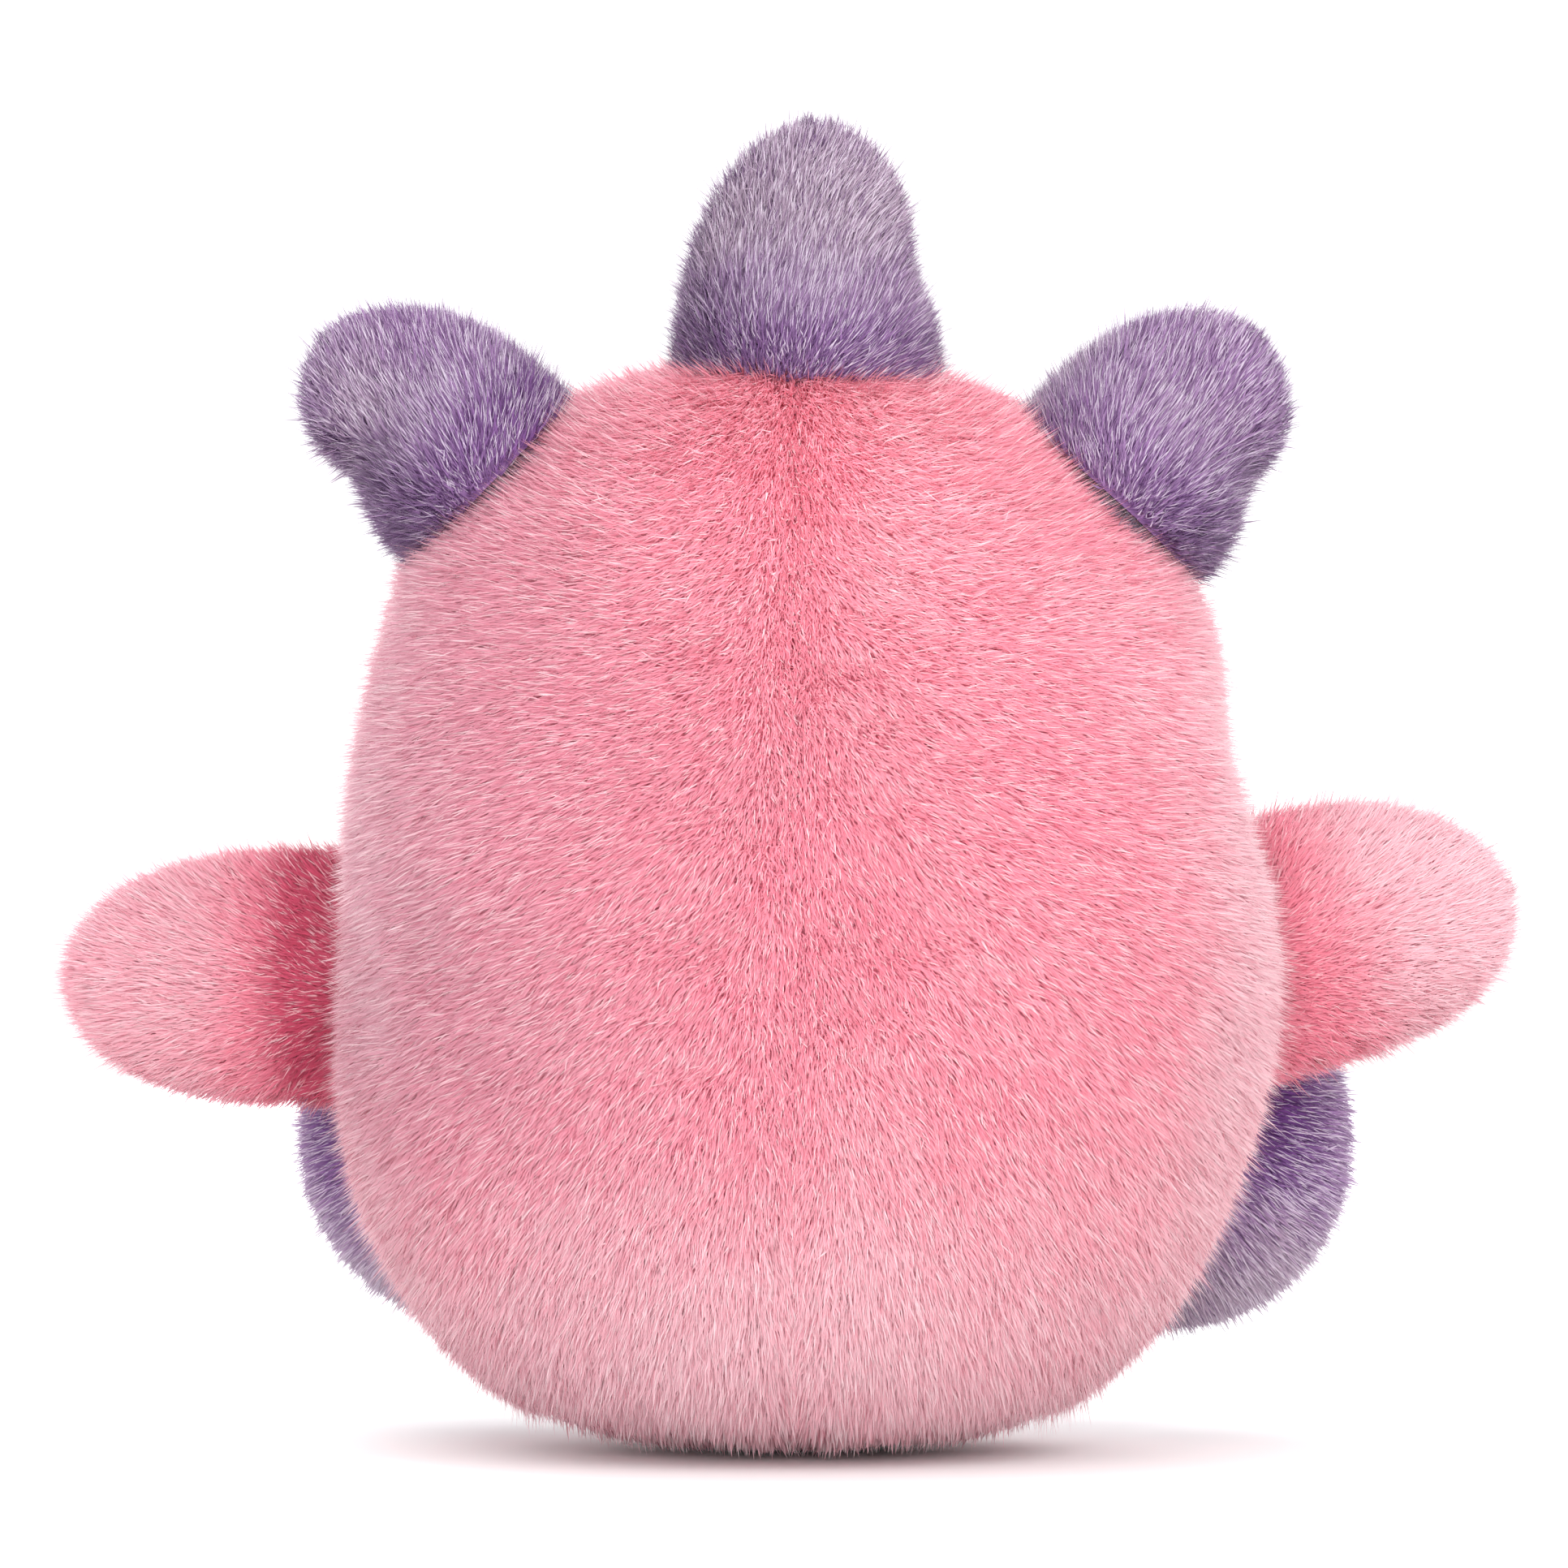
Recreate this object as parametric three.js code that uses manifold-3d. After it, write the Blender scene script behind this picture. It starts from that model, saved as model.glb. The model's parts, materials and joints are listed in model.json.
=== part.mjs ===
// A palm-size stuffed dinosaur: an egg-shaped pile-fabric body with a crest of three stuffed spikes,
// two arms and two round feet sewn into its seams. Fibre fill and a pouch of pellets sit inside.
// Millimetres, +Z up. The origin is the middle of the flat seat, and the face looks along -Y.
import * as THREE from "three";
import { mergeVertices } from "three/addons/utils/BufferGeometryUtils.js";
import Module from "manifold-3d";

const wasm = await Module();
wasm.setup();

// ---- driving dimensions ----
const BODY = { halfWidth: 43.4, bottom: -0.9, top: 103.6, depthShare: 0.87, roundness: 2.46, blunt: 2.52, taper: 0.0915 };
const WALL = 2.4; // pile fabric of the body, with its pile pressed down
const LIMB_WALL = 1.9;
const GAP = 0.3; // between pieces that touch
const SEAT_RADIUS = 25;
const SEAT_DEPTH = 9;
const POUCH = { middle: 17, halfHeight: 12.6, halfWidth: 31, wall: 0.8, roundness: 2.2 };
const EYE = { x: 16.5, z: 62, radius: 4.8, dome: 3.2, shank: 1.3, reach: 7.5, washer: 4.2, washerWall: 1 };
const MUZZLE = { z: 49.5, halfWidth: 13.5, halfDepth: 9.5, halfHeight: 9.5, wall: 1.6 };
const NOSTRIL = { x: 4.2, z: 54, halfWidth: 1.5, halfHeight: 1.1, proud: 0.9 };
const MOUTH = { radius: 0.55, halfWidth: 6, z: 45.6, sag: 2.4 };
const CLOSING = { radius: 0.35, fromZ: 13, toZ: 27, stitches: 8, halfWidth: 1.1 };

// Each limb leaves the body at height z. turn is its direction in plan, from +X towards +Y, and lift its
// rise, both in degrees. swing is how far it bends about its seam: back then forward for an arm or a
// spike, down then up for a foot.
const ARMS = [
  { name: "arm_left", side: 1, y: -10, z: 44.6, turn: -14, lift: -1, length: 28, halfWidth: 12.3, swing: [-25, 30] },
  { name: "arm_right", side: -1, y: -5, z: 46.8, turn: 190, lift: 15, length: 25.6, halfWidth: 12.5, swing: [-25, 30] },
];
const FEET = [
  { name: "foot_left", side: 1, x: 25.9, z: 28.1, turn: -64, lift: 3, swing: [-8, 8] },
  { name: "foot_right", side: -1, x: 30.4, z: 28.1, turn: 228, lift: 3, swing: [-8, 8] },
];
const FOOT = { radius: 18.7, middle: 7.6, reach: 16, solePlane: 20.8, blunt: 2.7 };
const SPIKES = [
  { name: "spike_middle", x: -1.3, z: 103.4, tilt: -1.5, length: 23, halfWidth: 12.6, blunt: 2, swing: [-20, 20] },
  { name: "spike_left", x: 30.2, z: 93.1, tilt: 46, length: 19.3, halfWidth: 11.6, blunt: 2.7, swing: [-20, 20] },
  { name: "spike_right", x: -31.8, z: 91.8, tilt: -42, length: 20, halfWidth: 12.5, blunt: 2.5, swing: [-20, 20] },
];
// Half thickness of a spike and of an arm: at the seam, where it is pinched, and at its fullest.
const SPIKE_FORM = { root: 3.8, thick: 6.8 };
const ARM_FORM = { root: 3.4, thick: 8, blunt: 2.9 };
const CAVITY_START = 2.6; // how far from its seam a limb's filling begins
const SUNK = 4; // how far a limb's form runs into the body before it is cut back
const SWING_GAP = 0.45;

// ---- materials ----
const fabric = (color) => new THREE.MeshStandardMaterial({ color, roughness: 0.95, metalness: 0 });
const MATERIALS = {
  pinkPlush: fabric(0xf48aa0),
  lilacPlush: fabric(0x8f78b4),
  palePlush: fabric(0xf9bfc8),
  fibreFill: fabric(0xf3f1ec),
  pouchCloth: fabric(0xdedbd4),
  pellets: new THREE.MeshStandardMaterial({ color: 0xe9e9e6, roughness: 0.5, metalness: 0 }),
  eyePlastic: new THREE.MeshStandardMaterial({ color: 0x0d0c10, roughness: 0.12, metalness: 0 }),
  washerPlastic: new THREE.MeshStandardMaterial({ color: 0xdfe3e6, roughness: 0.4, metalness: 0 }),
  darkThread: fabric(0x4a2a44),
  pinkThread: fabric(0xe77f97),
};

// ---- solids ----
function solid(geometry) {
  const bare = geometry.index ? geometry.toNonIndexed() : geometry.clone();
  for (const name of Object.keys(bare.attributes)) if (name !== "position") bare.deleteAttribute(name);
  const merged = mergeVertices(bare, 1e-4);
  return new wasm.Manifold(
    new wasm.Mesh({
      numProp: 3,
      vertProperties: merged.attributes.position.array,
      triVerts: new Uint32Array(merged.index.array),
    }),
  );
}

function geometryOf(manifold) {
  const mesh = manifold.getMesh();
  const geometry = new THREE.BufferGeometry();
  geometry.setAttribute("position", new THREE.BufferAttribute(mesh.vertProperties, 3));
  geometry.setIndex(new THREE.BufferAttribute(mesh.triVerts, 1));
  const flat = geometry.toNonIndexed();
  flat.computeVertexNormals();
  return flat;
}

function box(low, high) {
  const size = new THREE.Vector3().subVectors(high, low);
  const middle = new THREE.Vector3().addVectors(low, high).multiplyScalar(0.5);
  return solid(new THREE.BoxGeometry(size.x, size.y, size.z).translate(middle.x, middle.y, middle.z));
}

const FAR = 300;
const above = (z) => box(new THREE.Vector3(-FAR, -FAR, z), new THREE.Vector3(FAR, FAR, FAR));
const below = (z) => box(new THREE.Vector3(-FAR, -FAR, -FAR), new THREE.Vector3(FAR, FAR, z));
const leftOf = (x) => box(new THREE.Vector3(x, -FAR, -FAR), new THREE.Vector3(FAR, FAR, FAR));
const rightOf = (x) => box(new THREE.Vector3(-FAR, -FAR, -FAR), new THREE.Vector3(x, FAR, FAR));
const behind = (y) => box(new THREE.Vector3(-FAR, y, -FAR), new THREE.Vector3(FAR, FAR, FAR));
const inFront = (y) => box(new THREE.Vector3(-FAR, -FAR, -FAR), new THREE.Vector3(FAR, y, FAR));

// A solid of rings along +Z: ring(s) gives its height and its two half sizes, for s from 0 to 1.
function loft(ring, rings, sides) {
  const profile = Array.from({ length: rings + 1 }, (_, i) => ring(i / rings));
  const unit = profile.map((p, i) => new THREE.Vector2(i === 0 || i === rings ? 0 : 1, p.height));
  const geometry = new THREE.LatheGeometry(unit, sides).rotateX(Math.PI / 2);
  const at = geometry.attributes.position;
  for (let k = 0; k < at.count; k++) {
    const p = profile[k % (rings + 1)];
    at.setXYZ(k, at.getX(k) * p.halfX, at.getY(k) * p.halfY, p.height);
  }
  return solid(geometry);
}

// ---- body form ----
// Half width of the egg at height z: a blunt ellipse that is wider below than above.
function bodyHalfWidth(z, inset = 0) {
  const middle = (BODY.top + BODY.bottom) / 2;
  const half = (BODY.top - BODY.bottom) / 2 - inset;
  const u = THREE.MathUtils.clamp((z - middle) / half, -1, 1);
  const full = BODY.halfWidth - inset;
  return full * Math.pow(1 - Math.pow(Math.abs(u), BODY.roundness), 1 / BODY.blunt) * (1 - BODY.taper * u);
}

function bodyForm(inset, rings = 14, sides = 28) {
  const middle = (BODY.top + BODY.bottom) / 2;
  const half = (BODY.top - BODY.bottom) / 2 - inset;
  const depth = (BODY.halfWidth * BODY.depthShare - inset) / (BODY.halfWidth - inset);
  return loft(
    (s) => {
      const height = middle - half * Math.cos(Math.PI * s);
      const halfX = bodyHalfWidth(height, inset);
      return { height, halfX, halfY: halfX * depth };
    },
    rings,
    sides,
  );
}

const bodyDepthAt = (x, z) =>
  BODY.depthShare * Math.sqrt(Math.max(0, bodyHalfWidth(z) ** 2 - x * x));

// Outward direction of the body's surface on the face side at x, z.
function faceNormal(x, z) {
  const step = 0.5;
  const slopeX = (bodyDepthAt(x + step, z) - bodyDepthAt(x - step, z)) / (2 * step);
  const slopeZ = (bodyDepthAt(x, z + step) - bodyDepthAt(x, z - step)) / (2 * step);
  return new THREE.Vector3(-slopeX, -1, -slopeZ).normalize();
}

const seat = above(0);
const bodyOuter = bodyForm(0).intersect(seat);
const bodyInner = bodyForm(WALL);
const bodyAround = bodyForm(-GAP);
const bodyCleared = bodyForm(-SWING_GAP);

// ---- assembly ----
const dinosaur = new THREE.Group();
dinosaur.name = "dinosaur";

function addPiece(group, name, manifold, material) {
  const mesh = new THREE.Mesh(geometryOf(manifold), material);
  mesh.name = name;
  group.add(mesh);
}

// A cylinder along direction, from one distance to another, measured from a point.
function rod(point, direction, from, to, radius, sides = 16) {
  const geometry = new THREE.CylinderGeometry(radius, radius, to - from, sides);
  geometry.translate(0, (from + to) / 2, 0);
  const turn = new THREE.Quaternion().setFromUnitVectors(new THREE.Vector3(0, 1, 0), direction);
  geometry.applyQuaternion(turn).translate(point.x, point.y, point.z);
  return solid(geometry);
}

// ---- eyes: a moulded dome with a shank that a washer locks behind the fabric ----
const eyes = [
  { name: "left", side: 1 },
  { name: "right", side: -1 },
].map(({ name, side }) => {
  const x = side * EYE.x;
  const out = faceNormal(x, EYE.z);
  const point = new THREE.Vector3(x, -bodyDepthAt(x, EYE.z), EYE.z).addScaledVector(out, GAP);
  return { name, out, point };
});

function eyeSolid({ point, out }) {
  const dome = new THREE.SphereGeometry(EYE.radius, 16, 8);
  dome.scale(1, EYE.dome / EYE.radius, 1);
  const turn = new THREE.Quaternion().setFromUnitVectors(new THREE.Vector3(0, 1, 0), out);
  const half = solid(dome).intersect(rod(new THREE.Vector3(), new THREE.Vector3(0, 1, 0), 0, FAR, FAR / 2, 8));
  const shank = rod(new THREE.Vector3(), new THREE.Vector3(0, 1, 0), -EYE.reach, 0.5, EYE.shank, 12);
  const geometry = geometryOf(half.add(shank)).applyQuaternion(turn).translate(point.x, point.y, point.z);
  return solid(geometry);
}

function washerSolid({ point, out }) {
  const start = -(WALL + 2 * GAP + 0.9);
  const disc = rod(point, out, start - EYE.washerWall, start, EYE.washer, 12);
  return disc.subtract(rod(point, out, start - 2 * EYE.washerWall, start + 1, EYE.shank + GAP, 10));
}

// ---- body shell: four pile panels and a seat panel, cut from one hollow egg ----
const seatEdge = (radius) =>
  rod(new THREE.Vector3(), new THREE.Vector3(0, 0, 1), -5, SEAT_DEPTH, radius, 28);
const eyeHoles = eyes.map((eye) => rod(eye.point, eye.out, -12, 5, EYE.shank + GAP + 0.1, 12));
const hollow = bodyOuter.subtract(bodyInner);
const half = GAP / 2;

function addBodyShell() {
  const ring = hollow.subtract(seatEdge(SEAT_RADIUS + GAP));
  const quarter = (a, b) => eyeHoles.reduce((piece, hole) => piece.subtract(hole), ring.intersect(a).intersect(b));
  const { pinkPlush } = MATERIALS;
  addPiece(dinosaur, "back_panel_left", quarter(leftOf(half), behind(half)), pinkPlush);
  addPiece(dinosaur, "back_panel_right", quarter(rightOf(-half), behind(half)), pinkPlush);
  addPiece(dinosaur, "front_panel_left", quarter(leftOf(half), inFront(-half)), pinkPlush);
  addPiece(dinosaur, "front_panel_right", quarter(rightOf(-half), inFront(-half)), pinkPlush);
  addPiece(dinosaur, "seat_panel", hollow.intersect(seatEdge(SEAT_RADIUS)), pinkPlush);
}

// ---- filling: a two-piece pouch of pellets low down, and fibre above it ----
function pouchForm(inset) {
  const { middle, halfHeight, halfWidth, roundness } = POUCH;
  return loft(
    (s) => {
      const u = -Math.cos(Math.PI * s);
      const halfX = (halfWidth - inset) * Math.pow(1 - Math.pow(Math.abs(u), roundness), 1 / roundness);
      return { height: middle + (halfHeight - inset) * u, halfX, halfY: halfX * BODY.depthShare };
    },
    7,
    18,
  );
}

function addFilling() {
  const skin = pouchForm(0).subtract(pouchForm(POUCH.wall));
  addPiece(dinosaur, "pellet_pouch_upper", skin.intersect(above(POUCH.middle + half)), MATERIALS.pouchCloth);
  addPiece(dinosaur, "pellet_pouch_lower", skin.intersect(below(POUCH.middle - half)), MATERIALS.pouchCloth);
  addPiece(dinosaur, "pellet_fill", pouchForm(POUCH.wall + GAP), MATERIALS.pellets);
  const pockets = eyes.map((eye) => rod(eye.point, eye.out, -(EYE.reach + 1), 5, EYE.washer + 0.6, 12));
  const fibre = bodyForm(WALL + 3 * GAP, 10, 20)
    .intersect(above(POUCH.middle + 1))
    .subtract(pouchForm(-GAP));
  addPiece(dinosaur, "body_stuffing", pockets.reduce((piece, hole) => piece.subtract(hole), fibre), MATERIALS.fibreFill);
}

// ---- face: eyes, padded muzzle and stitched features ----
const muzzleMiddle = new THREE.Vector3(0, -bodyDepthAt(0, MUZZLE.z) + 1.2, MUZZLE.z);

function muzzleForm(inset) {
  const geometry = new THREE.SphereGeometry(1, 18, 10);
  geometry.scale(MUZZLE.halfWidth - inset, MUZZLE.halfDepth - inset, MUZZLE.halfHeight - inset);
  geometry.translate(muzzleMiddle.x, muzzleMiddle.y, muzzleMiddle.z);
  return solid(geometry);
}

// Front of the muzzle's ellipsoid at x, z, as a y coordinate.
function muzzleFrontY(x, z, extra = 0) {
  const u = x / (MUZZLE.halfWidth + extra);
  const v = (z - muzzleMiddle.z) / (MUZZLE.halfHeight + extra);
  return muzzleMiddle.y - (MUZZLE.halfDepth + extra) * Math.sqrt(1 - u * u - v * v);
}

class StitchedLine extends THREE.Curve {
  constructor(at) {
    super();
    this.at = at;
  }
  getPoint(t, target = new THREE.Vector3()) {
    return target.copy(this.at(t));
  }
}

function thread(at, radius, steps, sides) {
  const section = new THREE.Shape().absarc(0, 0, radius, 0, 2 * Math.PI);
  return new THREE.ExtrudeGeometry(section, {
    steps,
    curveSegments: sides / 2,
    bevelEnabled: false,
    extrudePath: new StitchedLine(at),
  });
}

function addFace() {
  for (const eye of eyes) {
    addPiece(dinosaur, `eye_${eye.name}`, eyeSolid(eye), MATERIALS.eyePlastic);
    addPiece(dinosaur, `eye_washer_${eye.name}`, washerSolid(eye), MATERIALS.washerPlastic);
  }
  const inner = muzzleForm(MUZZLE.wall);
  addPiece(dinosaur, "muzzle_cover", muzzleForm(0).subtract(inner).subtract(bodyAround), MATERIALS.palePlush);
  addPiece(dinosaur, "muzzle_stuffing", muzzleForm(MUZZLE.wall + GAP).subtract(bodyAround), MATERIALS.fibreFill);
  for (const [name, side] of [["left", 1], ["right", -1]]) {
    const x = side * NOSTRIL.x;
    const pad = new THREE.SphereGeometry(1, 10, 6).scale(NOSTRIL.halfWidth, NOSTRIL.proud + GAP, NOSTRIL.halfHeight);
    pad.translate(x, muzzleFrontY(x, NOSTRIL.z), NOSTRIL.z);
    addPiece(dinosaur, `nostril_${name}`, solid(pad).subtract(muzzleForm(-GAP)), MATERIALS.darkThread);
  }
  const mouthAt = (t) => {
    const x = (2 * t - 1) * MOUTH.halfWidth;
    const z = MOUTH.z - MOUTH.sag * Math.cos((Math.PI / 2) * (2 * t - 1));
    return new THREE.Vector3(x, muzzleFrontY(x, z, MOUTH.radius + GAP + 0.1), z);
  };
  const mouth = thread(mouthAt, MOUTH.radius, 10, 6);
  addPiece(dinosaur, "mouth_thread", solid(mouth), MATERIALS.darkThread);
}

// ---- closing seam: one thread laced from side to side up the lower end of the back seam ----
function addClosingThread() {
  const laceAt = (t) => {
    const z = THREE.MathUtils.lerp(CLOSING.fromZ, CLOSING.toZ, t);
    const x = CLOSING.halfWidth * Math.sin(Math.PI * CLOSING.stitches * t);
    return new THREE.Vector3(x, bodyDepthAt(x, z) + CLOSING.radius + 1.6 * GAP, z);
  };
  const lace = thread(laceAt, CLOSING.radius, CLOSING.stitches * 4, 4);
  addPiece(dinosaur, "closing_thread", solid(lace), MATERIALS.pinkThread);
}

// ---- limbs ----
// A limb's own frame: its origin is the middle of its seam, +Z leaves the body, and +X runs along the
// seam, which is the line that it bends about.
function limbFrame(name, point, out, seam) {
  const group = new THREE.Group();
  group.name = name;
  const across = new THREE.Vector3().crossVectors(out, seam).normalize();
  const along = new THREE.Vector3().crossVectors(across, out).normalize();
  group.quaternion.setFromRotationMatrix(new THREE.Matrix4().makeBasis(along, across, out));
  group.position.copy(point);
  group.updateMatrixWorld(true);
  dinosaur.add(group);
  return group;
}

// What the body fills, seen from the limb, at rest and at both ends of the limb's swing.
function bodySeenFrom(group, [low, high]) {
  const toLimb = group.matrixWorld.clone().invert();
  const seenAt = (angle) => {
    const turned = new THREE.Matrix4().makeRotationX(-THREE.MathUtils.degToRad(angle)).multiply(toLimb);
    return bodyCleared.transform(turned.elements);
  };
  return seenAt(low).add(seenAt(0)).add(seenAt(high));
}

// A flat stuffed form: pinched at its seam, full in the middle, rounded at its tip.
function paddleForm({ length, halfWidth, root, thick, blunt }, inset) {
  const start = inset > 0 ? CAVITY_START : -SUNK;
  const end = length - inset;
  return loft(
    (s) => {
      const height = end - (end - start) * Math.cos((Math.PI / 2) * s) ** 1.3;
      const share = Math.max(0, height) / end;
      const rounding = Math.sqrt(Math.max(0, 1 - Math.pow(share, blunt)));
      const pinch = Math.sin((Math.PI / 2) * Math.min(1, share / 0.5));
      const fullThick = root + (thick - root) * pinch;
      return {
        height,
        halfX: Math.max(0.4, (halfWidth - inset) * rounding),
        halfY: Math.max(0.4, (fullThick - inset) * rounding),
      };
    },
    8,
    16,
  );
}

function addPaddle(group, shape, swing, plush) {
  const body = bodySeenFrom(group, swing);
  const outer = paddleForm(shape, 0).subtract(body);
  const shell = outer.subtract(paddleForm(shape, LIMB_WALL));
  addPiece(group, `${group.name}_back_cover`, shell.intersect(behind(half)), plush);
  addPiece(group, `${group.name}_front_cover`, shell.intersect(inFront(-half)), plush);
  const fill = paddleForm(shape, LIMB_WALL + GAP).subtract(body);
  addPiece(group, `${group.name}_stuffing`, fill, MATERIALS.fibreFill);
}

const onSphere = (turn, lift) =>
  new THREE.Vector3().setFromSphericalCoords(
    1,
    THREE.MathUtils.degToRad(90 - lift),
    THREE.MathUtils.degToRad(turn + 90),
  );
// three.js measures its spherical angles with Y up, so its axes are named again here.
const direction = (turn, lift) => {
  const d = onSphere(turn, lift);
  return new THREE.Vector3(d.x, -d.z, d.y);
};

function addSpikes() {
  for (const spike of SPIKES) {
    const tilt = THREE.MathUtils.degToRad(spike.tilt);
    const out = new THREE.Vector3(Math.sin(tilt), 0, Math.cos(tilt));
    const seam = new THREE.Vector3(out.z, 0, -out.x);
    const group = limbFrame(spike.name, new THREE.Vector3(spike.x, 0, spike.z), out, seam);
    addPaddle(group, { ...spike, ...SPIKE_FORM }, spike.swing, MATERIALS.lilacPlush);
  }
}

function addArms() {
  for (const arm of ARMS) {
    const width = bodyHalfWidth(arm.z);
    const depth = width * BODY.depthShare;
    const x = arm.side * width * Math.sqrt(1 - (arm.y / depth) ** 2);
    const out = direction(arm.turn, arm.lift);
    const seam = new THREE.Vector3(0, 0, -arm.side);
    const group = limbFrame(arm.name, new THREE.Vector3(x, arm.y, arm.z), out, seam);
    addPaddle(group, { ...arm, ...ARM_FORM }, arm.swing, MATERIALS.pinkPlush);
  }
}

// A foot is a ball with a blunter front, closed by its own round sole.
function footForm(inset) {
  const { radius, middle, reach, blunt } = FOOT;
  return loft(
    (s) => {
      const u = -Math.cos(Math.PI * s);
      const power = u > 0 ? blunt : 2;
      const rounding = Math.pow(Math.max(0, 1 - Math.pow(Math.abs(u), power)), 1 / power);
      const halfX = (radius - inset) * rounding;
      return { height: middle + u * ((u > 0 ? reach : radius) - inset), halfX, halfY: halfX };
    },
    9,
    18,
  );
}

function addFeet() {
  for (const foot of FEET) {
    const x = foot.side * foot.x;
    const out = direction(foot.turn, foot.lift);
    const point = new THREE.Vector3(x, -bodyDepthAt(x, foot.z), foot.z);
    const seam = new THREE.Vector3(out.y, -out.x, 0).normalize();
    const group = limbFrame(foot.name, point, out, seam);
    const body = bodySeenFrom(group, foot.swing);
    const shell = footForm(0).subtract(footForm(LIMB_WALL)).subtract(body);
    const { lilacPlush, fibreFill } = MATERIALS;
    addPiece(group, `${foot.name}_upper`, shell.intersect(below(FOOT.solePlane - half)), lilacPlush);
    addPiece(group, `${foot.name}_sole`, shell.intersect(above(FOOT.solePlane + half)), lilacPlush);
    addPiece(group, `${foot.name}_stuffing`, footForm(LIMB_WALL + GAP).subtract(body), fibreFill);
  }
}

addBodyShell();
addFilling();
addFace();
addClosingThread();
addSpikes();
addArms();
addFeet();

export default dinosaur;
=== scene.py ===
import bpy
import json
import numpy as np
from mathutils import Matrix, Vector

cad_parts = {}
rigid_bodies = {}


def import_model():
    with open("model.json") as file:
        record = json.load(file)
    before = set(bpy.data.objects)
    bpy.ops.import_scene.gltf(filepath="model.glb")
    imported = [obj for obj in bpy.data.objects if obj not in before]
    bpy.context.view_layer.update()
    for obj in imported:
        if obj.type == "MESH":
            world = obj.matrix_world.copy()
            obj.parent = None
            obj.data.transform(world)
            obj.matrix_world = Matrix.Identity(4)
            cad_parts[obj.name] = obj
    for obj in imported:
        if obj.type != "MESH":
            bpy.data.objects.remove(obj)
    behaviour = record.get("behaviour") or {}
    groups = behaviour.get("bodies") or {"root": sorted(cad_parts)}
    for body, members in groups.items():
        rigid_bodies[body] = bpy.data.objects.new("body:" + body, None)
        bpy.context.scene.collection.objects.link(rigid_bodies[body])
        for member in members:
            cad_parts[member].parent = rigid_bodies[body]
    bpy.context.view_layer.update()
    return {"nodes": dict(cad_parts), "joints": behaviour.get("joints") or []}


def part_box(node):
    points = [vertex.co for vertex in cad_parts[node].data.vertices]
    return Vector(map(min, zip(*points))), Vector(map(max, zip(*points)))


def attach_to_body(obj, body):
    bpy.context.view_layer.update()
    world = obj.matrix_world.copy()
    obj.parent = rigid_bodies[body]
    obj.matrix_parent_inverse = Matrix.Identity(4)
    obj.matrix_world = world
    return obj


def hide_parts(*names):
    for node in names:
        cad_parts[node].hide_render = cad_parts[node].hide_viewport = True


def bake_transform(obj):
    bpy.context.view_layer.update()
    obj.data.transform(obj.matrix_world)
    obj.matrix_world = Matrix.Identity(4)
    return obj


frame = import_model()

scene = bpy.context.scene
mm = 0.001

# shader expressions


class Wire:
    # One output of a node. Sums on it add Math nodes, so masks and factors read as plain arithmetic.
    def __init__(self, tree, socket):
        self.tree = tree
        self.socket = socket

    @staticmethod
    def add(tree, kind, settings=None, inputs=None, output=0):
        # a new node: its settings first, then the values or links of its sockets; gives back one output
        node = tree.nodes.new(kind)
        for key, value in (settings or {}).items():
            if key == "stops":
                stops = node.color_ramp.elements
                while len(stops) < len(value):
                    stops.new(0.5)
                for stop, (place, colour) in zip(stops, value):
                    stop.position = place
                    stop.color = (*colour, 1)
            else:
                setattr(node, key, value)
        for key, value in (inputs or {}).items():
            socket = node.inputs[key]
            if isinstance(value, Wire):
                tree.links.new(value.socket, socket)
            elif isinstance(value, tuple) and len(value) == 3 and len(socket.default_value) == 4:
                socket.default_value = (*value, 1)
            else:
                socket.default_value = value
        return Wire(tree, node.outputs[output])

    def maths(self, operation, first, second):
        return Wire.add(self.tree, "ShaderNodeMath", {"operation": operation}, {0: first, 1: second})

    def __add__(self, other):
        return self.maths("ADD", self, other)

    def __radd__(self, other):
        return self.maths("ADD", other, self)

    def __sub__(self, other):
        return self.maths("SUBTRACT", self, other)

    def __rsub__(self, other):
        return self.maths("SUBTRACT", other, self)

    def __mul__(self, other):
        return self.maths("MULTIPLY", self, other)

    def __rmul__(self, other):
        return self.maths("MULTIPLY", other, self)

    def __gt__(self, other):
        return self.maths("GREATER_THAN", self, other)

    def between(self, low, high):
        # 0 below low, 1 above high, and a smooth step from one to the other
        settings = {"interpolation_type": "SMOOTHSTEP"}
        return Wire.add(self.tree, "ShaderNodeMapRange", settings, {0: self, 1: low, 2: high})


def mixColour(tree, share, first, second):
    settings = {"data_type": "RGBA", "clamp_factor": True}
    return Wire.add(tree, "ShaderNodeMix", settings, {0: share, 6: first, 7: second}, 2)


def noiseOf(tree, place, scale, detail=2.0, roughness=0.5):
    inputs = {"Vector": place, "Scale": scale, "Detail": detail, "Roughness": roughness}
    return Wire.add(tree, "ShaderNodeTexNoise", {}, inputs, "Fac")


def newMaterial(name, constants):
    # an empty Principled material: constants go straight onto its sockets
    material = bpy.data.materials.new(name)
    material.use_nodes = True
    tree = material.node_tree
    shader = tree.nodes["Principled BSDF"]
    for key, value in constants.items():
        shader.inputs[key].default_value = value
    return material, tree, shader


def feed(tree, wire, shader, key):
    tree.links.new(wire.socket, shader.inputs[key])


# fabrics

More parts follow.
